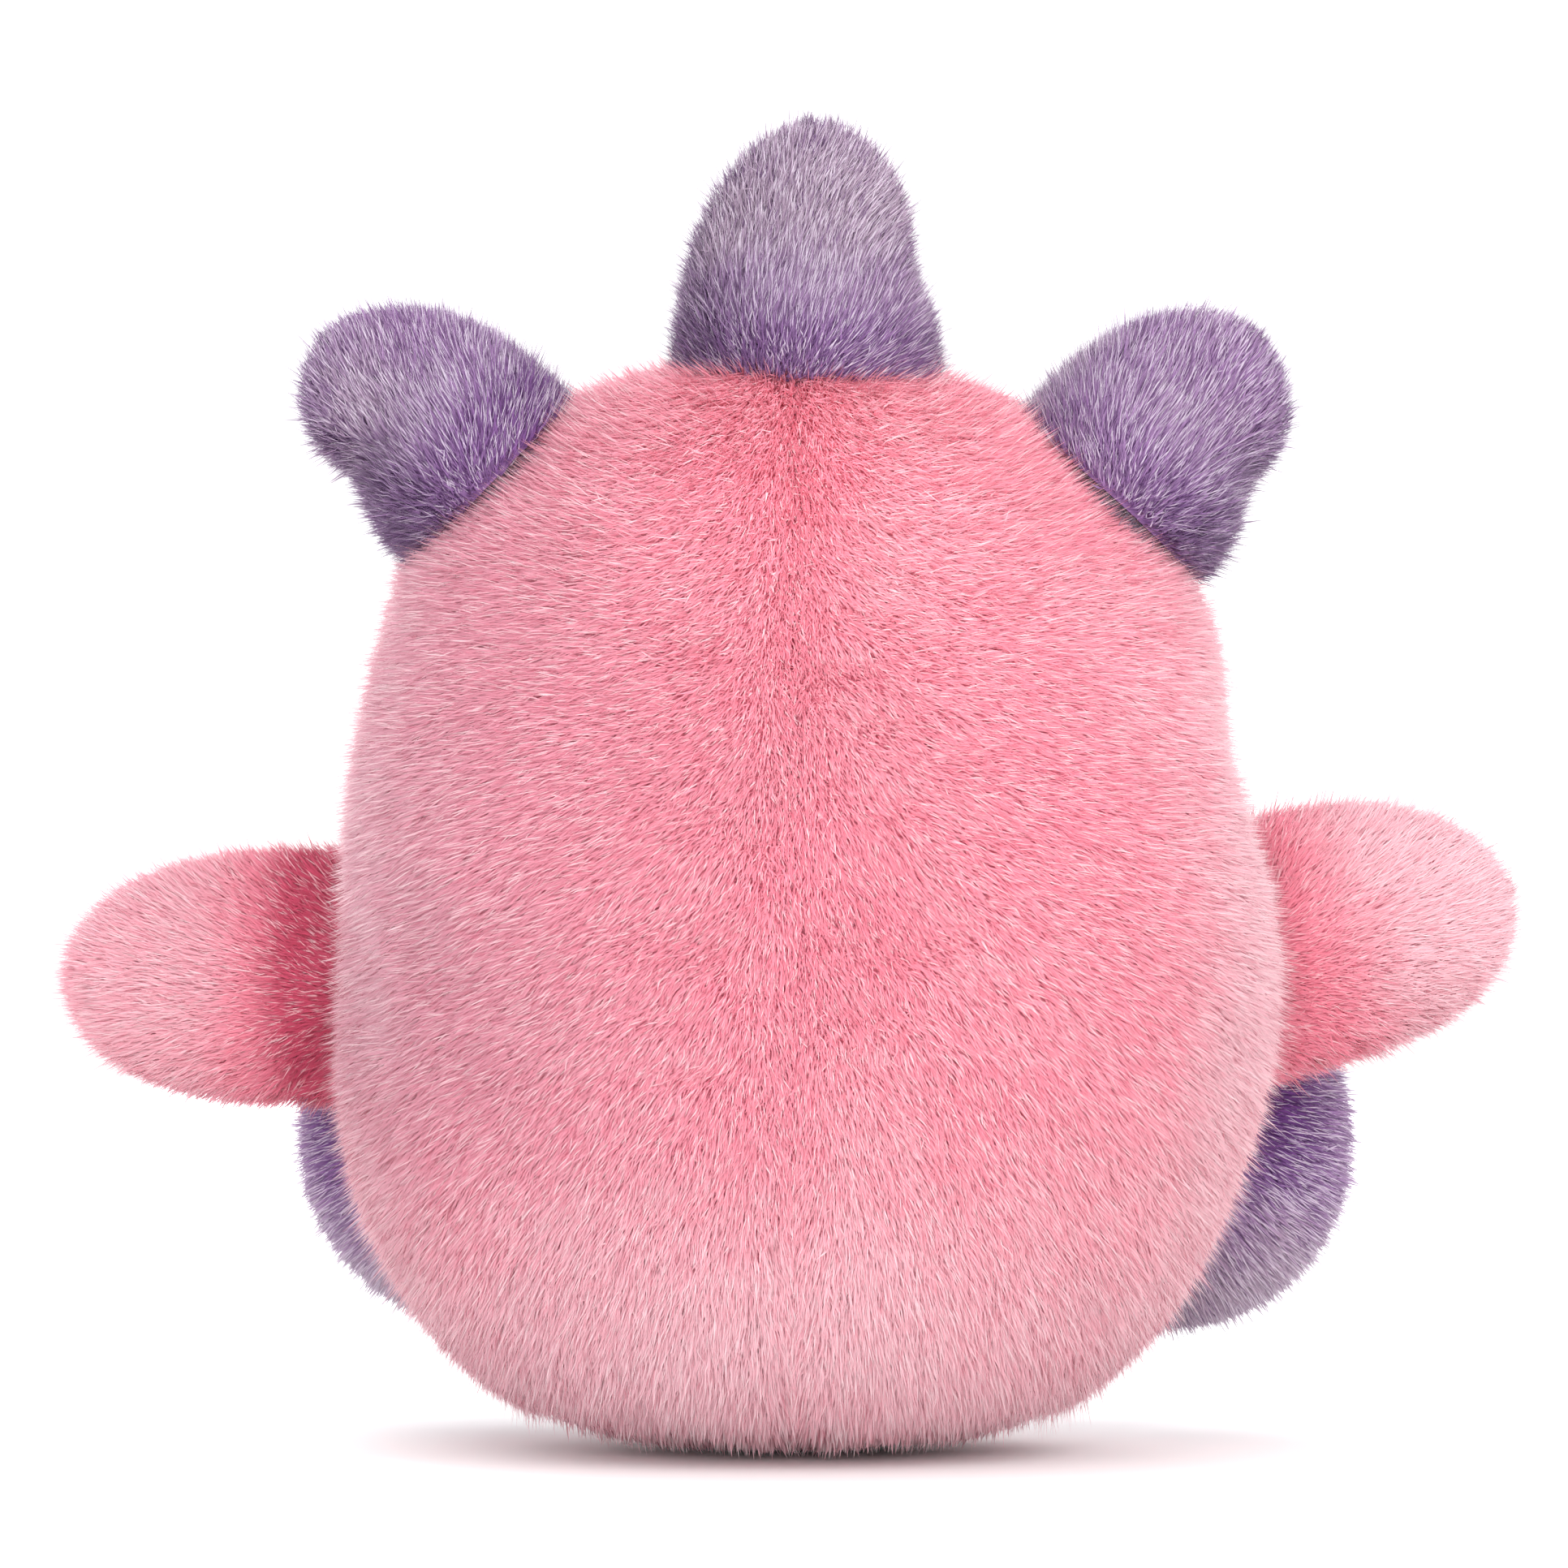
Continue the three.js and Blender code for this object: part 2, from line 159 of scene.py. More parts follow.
pinkPile = {
    "deepShade": (0.60, 0.085, 0.165),     # painted shade where two pieces meet, and the colour of the dark fibres
    "root": (0.90, 0.205, 0.31),
    "middle": (0.94, 0.30, 0.405),
    "tip": (0.95, 0.395, 0.49),
    "brushedAndLit": (0.91, 0.61, 0.67),    # where the pile is brushed over, and where light and sheen are painted on
    "greyed": (0.58, 0.345, 0.43),    # the grey of painted sheen and dimmer light
    "glint": (1.0, 0.86, 0.88),
    "patchScale": 42,
    "brushedShare": 0.32,
    "toneSpread": 0.24,               # how much one fibre is lighter or darker than the next
    "glintShare": 0.08,               # share of fibres with painted glints at their tips
    "darkShare": 0.06,                # share of dark fibres
    "translucence": 0.3,
}

lilacPile = {
    "deepShade": (0.15, 0.045, 0.22),
    "root": (0.22, 0.085, 0.29),
    "middle": (0.295, 0.15, 0.36),
    "tip": (0.40, 0.255, 0.43),
    "brushedAndLit": (0.47, 0.35, 0.45),
    "greyed": (0.38, 0.30, 0.37),
    "glint": (0.84, 0.75, 0.85),
    "patchScale": 95,
    "brushedShare": 0.5,
    "toneSpread": 0.85,
    "glintShare": 0.14,
    "darkShare": 0.17,
    "translucence": 0.28,
}

palePile = {
    "deepShade": (0.60, 0.16, 0.24),
    "greyed": (0.70, 0.52, 0.56),
    "root": (0.90, 0.36, 0.42),
    "middle": (0.95, 0.52, 0.57),
    "tip": (0.97, 0.66, 0.69),
    "brushedAndLit": (0.96, 0.76, 0.78),
    "glint": (1.0, 0.92, 0.92),
    "patchScale": 120,
    "brushedShare": 0.4,
    "toneSpread": 0.10,
    "glintShare": 0.03,
    "darkShare": 0.02,
    "translucence": 0.3,
}


def pileMaterial(name, look):
    # Fibre colour from root to tip, paler in random brushed patches and where light is painted on, greyer
    # where painted sheen and dimmer light are painted on, and darker where painted shade is. A few fibres
    # have painted glints at their tips and a few are dark. Some light passes through each fibre.
    constants = {"Roughness": 0.6, "Specular IOR Level": 0.25, "Sheen Weight": 0.3, "Sheen Roughness": 0.45}
    material, tree, shader = newMaterial(name, constants)
    place = Wire.add(tree, "ShaderNodeTexCoord", output="Object")
    along = Wire.add(tree, "ShaderNodeAttribute", {"attribute_name": "along"}, output="Fac")
    tone = Wire.add(tree, "ShaderNodeAttribute", {"attribute_name": "tone"}, output="Fac")
    lay = Wire.add(tree, "ShaderNodeAttribute", {"attribute_name": "lay"}, output="Fac")
    grey = Wire.add(tree, "ShaderNodeAttribute", {"attribute_name": "grey"}, output="Fac")
    stops = [(0.0, look["root"]), (0.45, look["middle"]), (1.0, look["tip"])]
    fibre = Wire.add(tree, "ShaderNodeValToRGB", {"stops": stops}, {0: along})
    patches = noiseOf(tree, place, look["patchScale"], 3.0).between(0.32, 0.76)
    fine = noiseOf(tree, place, look["patchScale"] * 9, 2.0).between(0.35, 0.7)
    # pale patches at random, plus painted light and sheen carried by the per-fibre attribute
    brushedAndLit = patches * look["brushedShare"] + fine * 0.15 + lay
    colour = mixColour(tree, brushedAndLit.between(0.0, 1.0), fibre, look["brushedAndLit"])
    # painted sheen and dimmer light: greyer where the grey attribute is high
    colour = mixColour(tree, grey, colour, look["greyed"])
    # painted shade: where the value for painted light falls below zero, the colour darkens towards the shade
    # colour
    colour = mixColour(tree, (lay * -1).between(0.0, 1.0), colour, look["deepShade"])
    value = 1 + (tone - 0.5) * look["toneSpread"]
    colour = Wire.add(tree, "ShaderNodeHueSaturation", {}, {"Value": value, "Color": colour})
    dark = 1 - (tone > look["darkShare"])
    colour = mixColour(tree, dark * 0.45, colour, look["deepShade"])
    # painted glints on the tips of a few fibres
    glint = (tone > 1 - look["glintShare"]) * along.between(0.3, 0.8)
    colour = mixColour(tree, glint * 0.8, colour, look["glint"])
    feed(tree, colour, shader, "Base Color")
    through = Wire.add(tree, "ShaderNodeBsdfTranslucent", {}, {"Color": look["middle"]})
    parts = {0: look["translucence"], 1: Wire(tree, shader.outputs[0]), 2: through}
    both = Wire.add(tree, "ShaderNodeMixShader", {}, parts)
    tree.links.new(both.socket, tree.nodes["Material Output"].inputs["Surface"])
    return material


def backingMaterial(name, colour):
    # the knitted ground that the pile stands in: rows of small loops, dyed like the roots
    material, tree, shader = newMaterial(name, {"Roughness": 0.9, "Specular IOR Level": 0.2})
    place = Wire.add(tree, "ShaderNodeTexCoord", output="Object")
    loops = {"Vector": place, "Scale": 900.0, "Distortion": 2.0, "Detail": 1.0}
    rows = Wire.add(tree, "ShaderNodeTexWave", {"bands_direction": "Z"}, loops, "Fac")
    cloudy = noiseOf(tree, place, 60.0, 3.0)
    dark = tuple(0.72 * channel for channel in colour)
    tint = mixColour(tree, rows * 0.5 + cloudy * 0.5, dark, colour)
    bump = Wire.add(tree, "ShaderNodeBump", {}, {"Strength": 0.4, "Distance": 0.0002, "Height": rows})
    feed(tree, tint, shader, "Base Color")
    feed(tree, bump, shader, "Normal")
    return material


# forms: closed stuffed surfaces as grids of points


def unit(vectors):
    length = np.linalg.norm(vectors, axis=-1, keepdims=True)
    return vectors / np.maximum(length, 1e-12)


def fade(value, start, end):
    # 0 at start, 1 at end, and a smooth step between
    share = np.clip((value - start) / (end - start), 0, 1)
    return share * share * (3 - 2 * share)


def latticeValue(cell, seed):
    # a repeatable number from -1 to 1 for each whole-numbered cell
    mixed = cell[..., 0] * 73856093 ^ cell[..., 1] * 19349663 ^ cell[..., 2] * 83492791 ^ seed * 2654435761
    mixed = (mixed ^ (mixed >> 13)) * 1274126177 & 0x7FFFFFFF
    return (mixed ^ (mixed >> 16)) % 20011 / 10005.0 - 1


def smoothNoise(points, size, seed):
    # value noise: numbers on a cubic lattice of the given cell size, blended by smooth steps
    scaled = points / size
    cell = np.floor(scaled).astype(np.int64)
    part = scaled - cell
    part = part * part * (3 - 2 * part)
    total = np.zeros(points.shape[:-1])
    for corner in np.ndindex(2, 2, 2):
        step = np.array(corner)
        weight = np.prod(np.where(step, part, 1 - part), axis=-1)
        total += weight * latticeValue(cell + step, seed)
    return total


def noiseVector(points, size, seed):
    return np.stack([smoothNoise(points, size, seed + axis * 17) for axis in range(3)], axis=-1)


def formNormals(points):
    # outward unit normal: the cross product of the steps round a ring and from ring to ring
    around = np.roll(points[:, :-1], -1, axis=1) - np.roll(points[:, :-1], 1, axis=1)
    upward = np.gradient(points, axis=0)[:, :-1]
    normals = unit(np.cross(around, upward))
    for row, neighbour in ((0, 1), (-1, -2)):
        normals[row] = unit(normals[neighbour].mean(axis=0))
    return np.concatenate([normals, normals[:, :1]], axis=1)


def makeForm(points):
    # rings run from the first pole to the last, and the last column repeats the first
    form = {"points": points, "normals": formNormals(points)}
    form["upward"] = unit(np.gradient(points, axis=0))
    around = np.gradient(points, axis=1)
    around[:, 0] = around[:, -1] = points[:, 1] - points[:, -2]
    form["around"] = unit(around)
    form["length"] = np.ones(points.shape[:2])
    form["lay"] = np.zeros(points.shape[:2])
    form["grey"] = np.zeros(points.shape[:2])
    form["lean"] = np.ones(points.shape[:2])
    return form


bodyShape = {
    "roundness": 2.46,    # how square the egg's flanks are
    "blunt": 2.52,        # how flat its ends are
    "taper": 0.0915,      # how much wider it is below than above
    "pileDepth": 2.0 * mm,
    "seamDepth": 0.4 * mm,
    "seamWidth": 1.8 * mm,
    "lumps": 0.9 * mm,
    "fullness": [         # height, reach up and down, and how much fuller the left and right sides are
        (84 * mm, 7 * mm, 1.4 * mm, 1.4 * mm),
        (76 * mm, 6 * mm, 0.0, 1.0 * mm),
        (46 * mm, 14 * mm, -1.3 * mm, 2.7 * mm),
    ],
    "rows": 120,
    "columns": 160,
}


def egg(height, low, high, halfWidth):
    # half width of the egg at a height: a blunt ellipse, wider below than above
    u = np.clip((height - (low + high) / 2) / ((high - low) / 2), -1, 1)
    rounding = (1 - np.abs(u) ** bodyShape["roundness"]) ** (1 / bodyShape["blunt"])
    return halfWidth * rounding * (1 - bodyShape["taper"] * u)


panelBoxes = [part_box(f"{face}_panel_{side}") for face in ("back", "front") for side in ("left", "right")]
bodyTop = max(high.z for low, high in panelBoxes)
bodyHalfX = max(high.x for low, high in panelBoxes)
bodyHalfY = max(high.y for low, high in panelBoxes)
bodyLow = -0.9 * mm


def bulge(height, middle, reach):
    # 1 at the middle height, falling away like a bell curve above and below
    return np.exp(-(((height - middle) / reach) ** 2))


def bodyGrid():
    # Rings at heights spaced like a cosine, each an ellipse drawn in along the seams, and wider or
    # narrower where the stuffing is uneven.
    rows, columns = bodyShape["rows"], bodyShape["columns"]
    inset = bodyShape["pileDepth"]
    low, high = bodyLow + inset, bodyTop - inset
    v = np.linspace(0, 1, rows + 1)[:, None]
    turn = np.linspace(0, 2 * np.pi, columns + 1)[None, :]
    height = (low + high) / 2 - (high - low) / 2 * np.cos(np.pi * v)
    peak = egg(np.linspace(low, high, 400), low, high, 1.0).max()
    halfX = egg(height, low, high, (bodyHalfX - inset) / peak)
    halfY = halfX * (bodyHalfY - inset) / (bodyHalfX - inset)
    for middle, reach, left, right in bodyShape["fullness"]:
        halfX = halfX + bulge(height, middle, reach) * np.where(np.cos(turn) < 0, right, left)
    x, y = halfX * np.cos(turn), halfY * np.sin(turn)
    z = np.broadcast_to(height, x.shape)
    points = np.stack([x, y, z], axis=-1)
    form = makeForm(points)
    seams = np.zeros(x.shape)
    for distance, depth in ((x, 1.0), (y, 0.7)):
        seams = np.maximum(seams, depth * bulge(distance, 0, bodyShape["seamWidth"]))
    lumps = smoothNoise(points, 24 * mm, 5) * bodyShape["lumps"]
    points = points + form["normals"] * (lumps - seams * bodyShape["seamDepth"])[..., None]
    points[..., 2] = np.maximum(points[..., 2], 1.2 * mm)
    points[0], points[-1] = points[0].mean(axis=0), points[-1].mean(axis=0)
    return points


def bodyNap(form):
    # Pile lies away from the back seam across the shoulders and turns downwards lower on the body.
    x, y, z = np.moveaxis(form["points"], -1, 0)
    sideways = -form["around"] * np.sign(x)[..., None]
    front = np.clip(0.5 - y / (2 * bodyHalfY), 0, 1)
    angle = np.radians(12 + 66 * fade(z, 12 * mm, 92 * mm)) * (1 - 0.75 * front)
    angle = angle * np.tanh(np.abs(x) / (11 * mm))
    return unit(sideways * np.sin(angle)[..., None] - form["upward"] * np.cos(angle)[..., None])


bodyLeanAndLight = {
    "crownLean": 0.7,     # how much flatter the pile lies over the crown
    "leftGreySheen": 0.62,         # how much painted sheen and dimmer light grey the back of the left side
    "flanks": 0.4,        # how pale the painted rim light makes both flanks
    "rightFlank": 0.4,    # and painted light further on the right one, facing the key light
    "low": 0.6,           # and painted light low down, for light from below
    "seam": 0.12,         # how much painted shade there is along the back seam
}


def leanAndLightBody(form):
    # each effect fades in over a stretch of the body and is scaled by its share
    x, y, z = np.moveaxis(form["points"], -1, 0)
    crown = fade(form["normals"][..., 2], 0.15, 0.6) * fade(np.abs(x), 24 * mm, 8 * mm)
    form["lean"] = 1 + bodyLeanAndLight["crownLean"] * crown
    # painted sheen and dimmer light on the back of the left side, greyer higher up
    leftGreySheen = fade(x, -4 * mm, 40 * mm) * fade(y, -12 * mm, 8 * mm)
    form["grey"] = bodyLeanAndLight["leftGreySheen"] * leftGreySheen * (0.35 + 0.65 * fade(z, 14 * mm, 42 * mm))
    # painted light: pale rims on both flanks, more on the side facing the key light, and low down for light
    # from below; painted shade along the seam
    flanks = bodyLeanAndLight["flanks"] * fade(np.abs(x), 24 * mm, 42 * mm)
    right = bodyLeanAndLight["rightFlank"] * fade(-x, 32 * mm, 44 * mm)
    low = bodyLeanAndLight["low"] * fade(z, 36 * mm, 8 * mm)
    form["lay"] = flanks + right + low - bodyLeanAndLight["seam"] * bulge(x, 0, 1.6 * mm)


body = makeForm(bodyGrid())
body["nap"] = bodyNap(body)
leanAndLightBody(body)


def jointOf(limb):
    return next(joint for joint in frame["joints"] if joint["child"] == limb)


def nodePoints(nodes):
    clouds = []
    for node in nodes:
        mesh = frame["nodes"][node].data
        flat = np.empty(len(mesh.vertices) * 3, np.float32)
        mesh.vertices.foreach_get("co", flat)
        clouds.append(flat.reshape(-1, 3).astype(float))
    return np.concatenate(clouds)


def limbAxes(limb, nodes):
    # the hinge line, the way out of the body square to it, and the way across; and the limb's own size
    joint = jointOf(limb)
    origin = np.array(joint["pos_m"])
    seam = unit(np.array(joint["axis"]))
    cloud = nodePoints(nodes) - origin
    outward = cloud.mean(axis=0)
    outward = unit(outward - seam * (outward @ seam))
    across = np.cross(outward, seam)
    local = cloud @ np.stack([seam, across, outward], axis=1)
    size = np.abs(local).max(axis=0)
    return {
        "name": limb, "origin": origin, "seam": seam, "across": across, "outward": outward,
        "halfWidth": size[0], "halfThick": size[1], "length": local[:, 2].max(),
    }


def toLimb(limb, points):
    return (points - limb["origin"]) @ np.stack([limb["seam"], limb["across"], limb["outward"]], axis=1)


def fromLimb(limb, local):
    return limb["origin"] + local @ np.stack([limb["seam"], limb["across"], limb["outward"]], axis=0)


paddleShape = {
    "sunk": 3.0 * mm,     # how far the form runs into the body
    "bendInside": 1.5 * mm,     # a point this far inside the seam is worked out, but no bend uses it
    "bendOutside": 6.0 * mm,    # and one this far outside it
    "rows": 44,
    "columns": 64,
}


def paddleRings(limb, height, back):
    # half width and half thickness at a height: pinched at the seam, full in the middle, round at the tip;
    # the back of a crest spike is thicker at its base, where it is sewn on behind the crest line
    share = np.clip(height / limb["end"], 0, 1)
    rounding = np.sqrt(np.maximum(0, 1 - share ** limb["blunt"]))
    pinch = np.sin(np.pi / 2 * np.minimum(1, share / 0.5))
    thick = limb["rootThick"] + (limb["halfThick"] - limb["pileDepth"] - limb["rootThick"]) * pinch
    heel = limb["heel"] * bulge(np.maximum(height, 0), 0, 7 * mm)
    return (limb["halfWidth"] - limb["sideDepth"]) * rounding, thick * rounding + np.where(back, heel, 0)


def paddleGrid(limb):
    # rings up a stuffed limb: each is an ellipse sharpened a little towards the edge seam
    rows, columns = paddleShape["rows"], paddleShape["columns"]
    v = np.linspace(0, 1, rows + 1)[:, None]
    turn = np.linspace(0, 2 * np.pi, columns + 1)[None, :]
    end = limb["end"]
    height = end - (end + paddleShape["sunk"]) * np.cos(np.pi / 2 * v) ** 1.35
    halfX, halfY = paddleRings(limb, height, np.sin(turn) > 0)
    closing = np.clip(v * rows / 2, 0, 1)
    share = np.clip(height / end, 0, 1)
    drawn = abs(limb["waist"]) * bulge(share, limb["waistAt"], 0.25) * (np.cos(turn) * limb["waist"] > 0)
    x = halfX * np.cos(turn) * closing * (1 - drawn) + limb["bend"] * share ** 2
    y = halfY * np.sin(turn) * np.abs(np.sin(turn)) ** 0.12 * closing
    z = np.broadcast_to(height, x.shape)
    local = np.stack([x, y, z], axis=-1)
    return fromLimb(limb, local)


def combLimb(form, limb, slant):
    # Pile runs out along the limb, turned by slant degrees within the surface. At the very tip,
    # where the surface faces outward, it stands up more.
    outward = np.broadcast_to(limb["outward"], form["points"].shape)
    lying = outward - form["normals"] * (outward * form["normals"]).sum(-1, keepdims=True)
    reach = np.linalg.norm(lying, axis=-1)
    across = np.cross(form["normals"], unit(lying))
    side = np.sign(toLimb(limb, form["points"])[..., 1:2])
    angle = np.radians(slant) * side
    form["nap"] = unit(unit(lying) * np.cos(angle) + across * np.sin(angle))
    form["lean"] = 0.55 + 0.45 * reach


def paddleForm(limb, slant):
    form = makeForm(paddleGrid(limb))
    combLimb(form, limb, slant)
    form["limb"] = limb
    local = toLimb(limb, form["points"])
    height = local[..., 2]
    form["grey"] = np.full(height.shape, limb["grey"])
    paler = limb["paleness"] * fade(height, 3 * mm, 16 * mm)
    paler = limb["oneSided"] * np.tanh(local[..., 0] / (6 * mm)) + paler
    # painted shade in the crease where the limb is sewn to the body
    form["lay"] = paler - limb["crease"] * bulge(np.maximum(height, 0), 0, limb["creaseHeight"])
    return form


def insidePaddle(limb, points, margin):
    local = toLimb(limb, points)
    halfX, halfY = paddleRings(limb, local[..., 2], local[..., 1] > 0)
    wide = local[..., 0] - limb["bend"] * np.clip(local[..., 2] / limb["end"], 0, 1) ** 2
    ring = (wide / (halfX + margin)) ** 2 + (local[..., 1] / (halfY + margin)) ** 2
    return (ring < 1) & (local[..., 2] < limb["length"]) & (local[..., 2] > -8 * mm)


footShape = {
    "middle": 7.6 * mm,   # how far the ball's middle is outside the body
    "pileDepth": 1.5 * mm,
    "blunt": 2.7,
    "soleAt": 0.74,       # the sole's seam, as a share of the rows
    "bendInside": 2.0 * mm,
    "bendOutside": 7.0 * mm,
    "rows": 70,
    "columns": 84,
}


def soleRow():
    return int(footShape["rows"] * footShape["soleAt"])


def footGrid(limb):
    # a ball with a blunter front: the radius follows a superellipse ahead of its middle
    rows, columns = footShape["rows"], footShape["columns"]
    inset = footShape["pileDepth"]
    u = -np.cos(np.pi * np.linspace(0, 1, rows + 1))[:, None]
    turn = np.linspace(0, 2 * np.pi, columns + 1)[None, :]
    power = np.where(u > 0, footShape["blunt"], 2.0)
    rounding = np.maximum(0, 1 - np.abs(u) ** power) ** (1 / power)
    radius = (limb["halfWidth"] - inset) * rounding
    reach = limb["length"] - footShape["middle"] - inset
    height = footShape["middle"] + u * np.where(u > 0, reach, limb["halfWidth"] - inset)
    x, y = radius * np.cos(turn), radius * np.sin(turn)
    return fromLimb(limb, np.stack([x, y, np.broadcast_to(height, x.shape)], axis=-1))


def insideFoot(limb, points, margin):
    local = toLimb(limb, points)
    local[..., 2] -= footShape["middle"]
    return np.linalg.norm(local, axis=-1) < limb["halfWidth"] + margin


def insideBody(points, margin):
    x, y, z = np.moveaxis(points, -1, 0)
    peak = egg(np.linspace(bodyLow, bodyTop, 400), bodyLow, bodyTop, 1.0).max()
    halfX = np.maximum(egg(z, bodyLow - margin, bodyTop + margin, bodyHalfX / peak) + margin, 0.01 * mm)
    halfY = halfX * bodyHalfY / bodyHalfX
    return (x / halfX) ** 2 + (y / halfY) ** 2 < 1


spikeLook = {
    "rootThick": 5.6 * mm,
    "heel": 8.0 * mm,     # how much thicker the back is at the seam
    "pileDepth": 1.2 * mm,
    "sideDepth": 1.8 * mm,
    "tipDepth": 2.4 * mm,
    "bend": 0.0,          # how far the tip is sewn off the middle
    "waist": 0.0,         # how much the outline is drawn in; its sign tells the side
    "waistAt": 0.42,
    "crease": 0.5,        # how much shade is painted at the seam
    "creaseHeight": 3.0 * mm,
    "paleness": 0.0,
    "oneSided": 0.0,      # paler towards one edge
    "grey": 0.0,
}
armLook = {
    "rootThick": 4.6 * mm,
    "heel": 0.0,
    "pileDepth": 1.5 * mm,
    "sideDepth": 1.6 * mm,
    "tipDepth": 1.2 * mm,
    "bend": 0.0,
    "waist": 0.0,
    "waistAt": 0.5,
    "creaseHeight": 6.5 * mm,
    "blunt": 2.9,
    "oneSided": 0.0,
    "grey": 0.0,
}
limbLooks = {
    "spike_left": dict(spikeLook, blunt=2.6, slant=-35, bend=1.5 * mm, sideDepth=2.4 * mm, waist=0.2,
                       oneSided=0.3),
    "spike_middle": dict(spikeLook, blunt=2.0, slant=-25, paleness=0.65, waist=-0.16, grey=0.2),
    "spike_right": dict(spikeLook, blunt=2.4, slant=20, tipDepth=3.4 * mm, sideDepth=2.6 * mm, crease=0.25,
                        waist=-0.2),
    "arm_left": dict(armLook, crease=1.35, slant=-12, paleness=0.5, grey=0.1),
    "arm_right": dict(armLook, crease=0.2, slant=12, paleness=0.75, bend=-1.2 * mm),
}

forms = {}
for limb, look in limbLooks.items():
    axes = limbAxes(limb, [f"{limb}_back_cover", f"{limb}_front_cover"])
    axes.update(look)
    axes["end"] = axes["length"] - look["tipDepth"]
    forms[limb] = paddleForm(axes, look["slant"])



def footForm(limb):
    # pile runs outwards and down; it is paler low down, and painted shade darkens the top, next to the body
    form = makeForm(footGrid(limb))
    way = unit(form["upward"] * 0.8 - np.array([0, 0, 0.6]))
    form["nap"] = unit(way - form["normals"] * (way * form["normals"]).sum(-1, keepdims=True))
    form["limb"] = limb
    height = form["points"][..., 2]
    reach = toLimb(limb, form["points"])[..., 2]
    paler = 0.8 * fade(height, 27 * mm, 12 * mm)
    form["lay"] = paler - 1.1 * fade(height, 17 * mm, 34 * mm) * fade(reach, 15 * mm, 5 * mm)
    return form


for limb in ("foot_left", "foot_right"):
    forms[limb] = footForm(limbAxes(limb, [f"{limb}_upper", f"{limb}_sole"]))

print("forms made:", len(forms) + 1)

# meshes


def newPiece(name, points, faces, material, smooth=True):
    # points and faces are whole arrays, and every face has the same number of corners
    mesh = bpy.data.meshes.new(name)
    count, corners = faces.shape
    mesh.vertices.add(len(points))
    mesh.vertices.foreach_set("co", np.ascontiguousarray(points, np.float32).ravel())
    mesh.loops.add(count * corners)
    mesh.loops.foreach_set("vertex_index", np.ascontiguousarray(faces, np.int32).ravel())
    mesh.polygons.add(count)
    mesh.polygons.foreach_set("loop_start", np.arange(0, count * corners, corners, dtype=np.int32))
    mesh.polygons.foreach_set("use_smooth", np.full(count, smooth))
    mesh.update(calc_edges=True)
    mesh.materials.append(material)
    piece = bpy.data.objects.new(name, mesh)
    scene.collection.objects.link(piece)
    return piece


def patchOf(form, rows, columns):
    # the part of a form's grid between two rows and two columns
    return {key: form[key][rows[0]:rows[1] + 1, columns[0]:columns[1] + 1]
            for key in ("points", "normals", "nap", "length", "lay", "grey", "lean")}


def gridPiece(name, grids, material):
    # One mesh from grids of points, two triangles a cell. Points in one place become one vertex, which
    # closes poles and rings.
    vertices, faces, offset = [], [], 0
    for grid in grids:
        flat = grid.reshape(-1, 3)
        same = np.round(flat * 1e8).astype(np.int64)
        _, first, index = np.unique(same, axis=0, return_index=True, return_inverse=True)
        index = index.reshape(grid.shape[:2]) + offset
        a, b, c, d = index[:-1, :-1], index[:-1, 1:], index[1:, 1:], index[1:, :-1]
        halves = [np.stack([a, b, c], -1), np.stack([a, c, d], -1)]
        cells = np.concatenate([half.reshape(-1, 3) for half in halves])
        whole = (cells[:, 0] != cells[:, 1]) & (cells[:, 1] != cells[:, 2]) & (cells[:, 2] != cells[:, 0])
        faces.append(cells[whole])
        vertices.append(flat[first])
        offset += len(first)
    return newPiece(name, np.concatenate(vertices), np.concatenate(faces), material)


def skinPiece(name, patch, material, thickness=0.7 * mm):
    # a panel given the thickness of the knitted ground on its inner side
    piece = gridPiece(name, [patch["points"]], material)
    wall = piece.modifiers.new("Ground", "SOLIDIFY")
    wall.thickness = thickness
    wall.offset = -1
    return piece


def ringsAlong(path, radii, sides=10):
    # a round tube along a path, its ends closed to points
    path = np.concatenate([path[:1], path, path[-1:]])
    radii = np.concatenate([[0], np.broadcast_to(radii, len(path) - 2), [0]])[:, None, None]
    tangent = np.gradient(path, axis=0)
    tangent[0], tangent[-1] = tangent[1], tangent[-2]
    tangent = unit(tangent)
    hint = np.array([0.23, 0.31, 0.92])
    first = unit(np.cross(tangent, hint))
    second = np.cross(tangent, first)
    turn = np.linspace(0, 2 * np.pi, sides + 1)[None, :, None]
    return path[:, None] + radii * (first[:, None] * np.cos(turn) + second[:, None] * np.sin(turn))


def twistedThread(path, radius, pitch, plies=2):
    # plies wound round the path like the strands of sewing thread
    steps = np.linalg.norm(np.diff(path, axis=0), axis=1)
    walked = np.concatenate([[0], steps.cumsum()])
    even = np.linspace(0, walked[-1], int(walked[-1] / pitch * 14))
    line = np.stack([np.interp(even, walked, path[:, axis]) for axis in range(3)], axis=1)
    tangent = unit(np.gradient(line, axis=0))
    first = unit(np.cross(tangent, np.array([0.23, 0.31, 0.92])))
    second = np.cross(tangent, first)
    grids = []
    for ply in range(plies):
        turn = (even / pitch + ply / plies)[:, None] * 2 * np.pi
        offset = (first * np.cos(turn) + second * np.sin(turn)) * radius * 0.5
        grids.append(ringsAlong(line + offset, radius * 0.62, 8))
    return grids


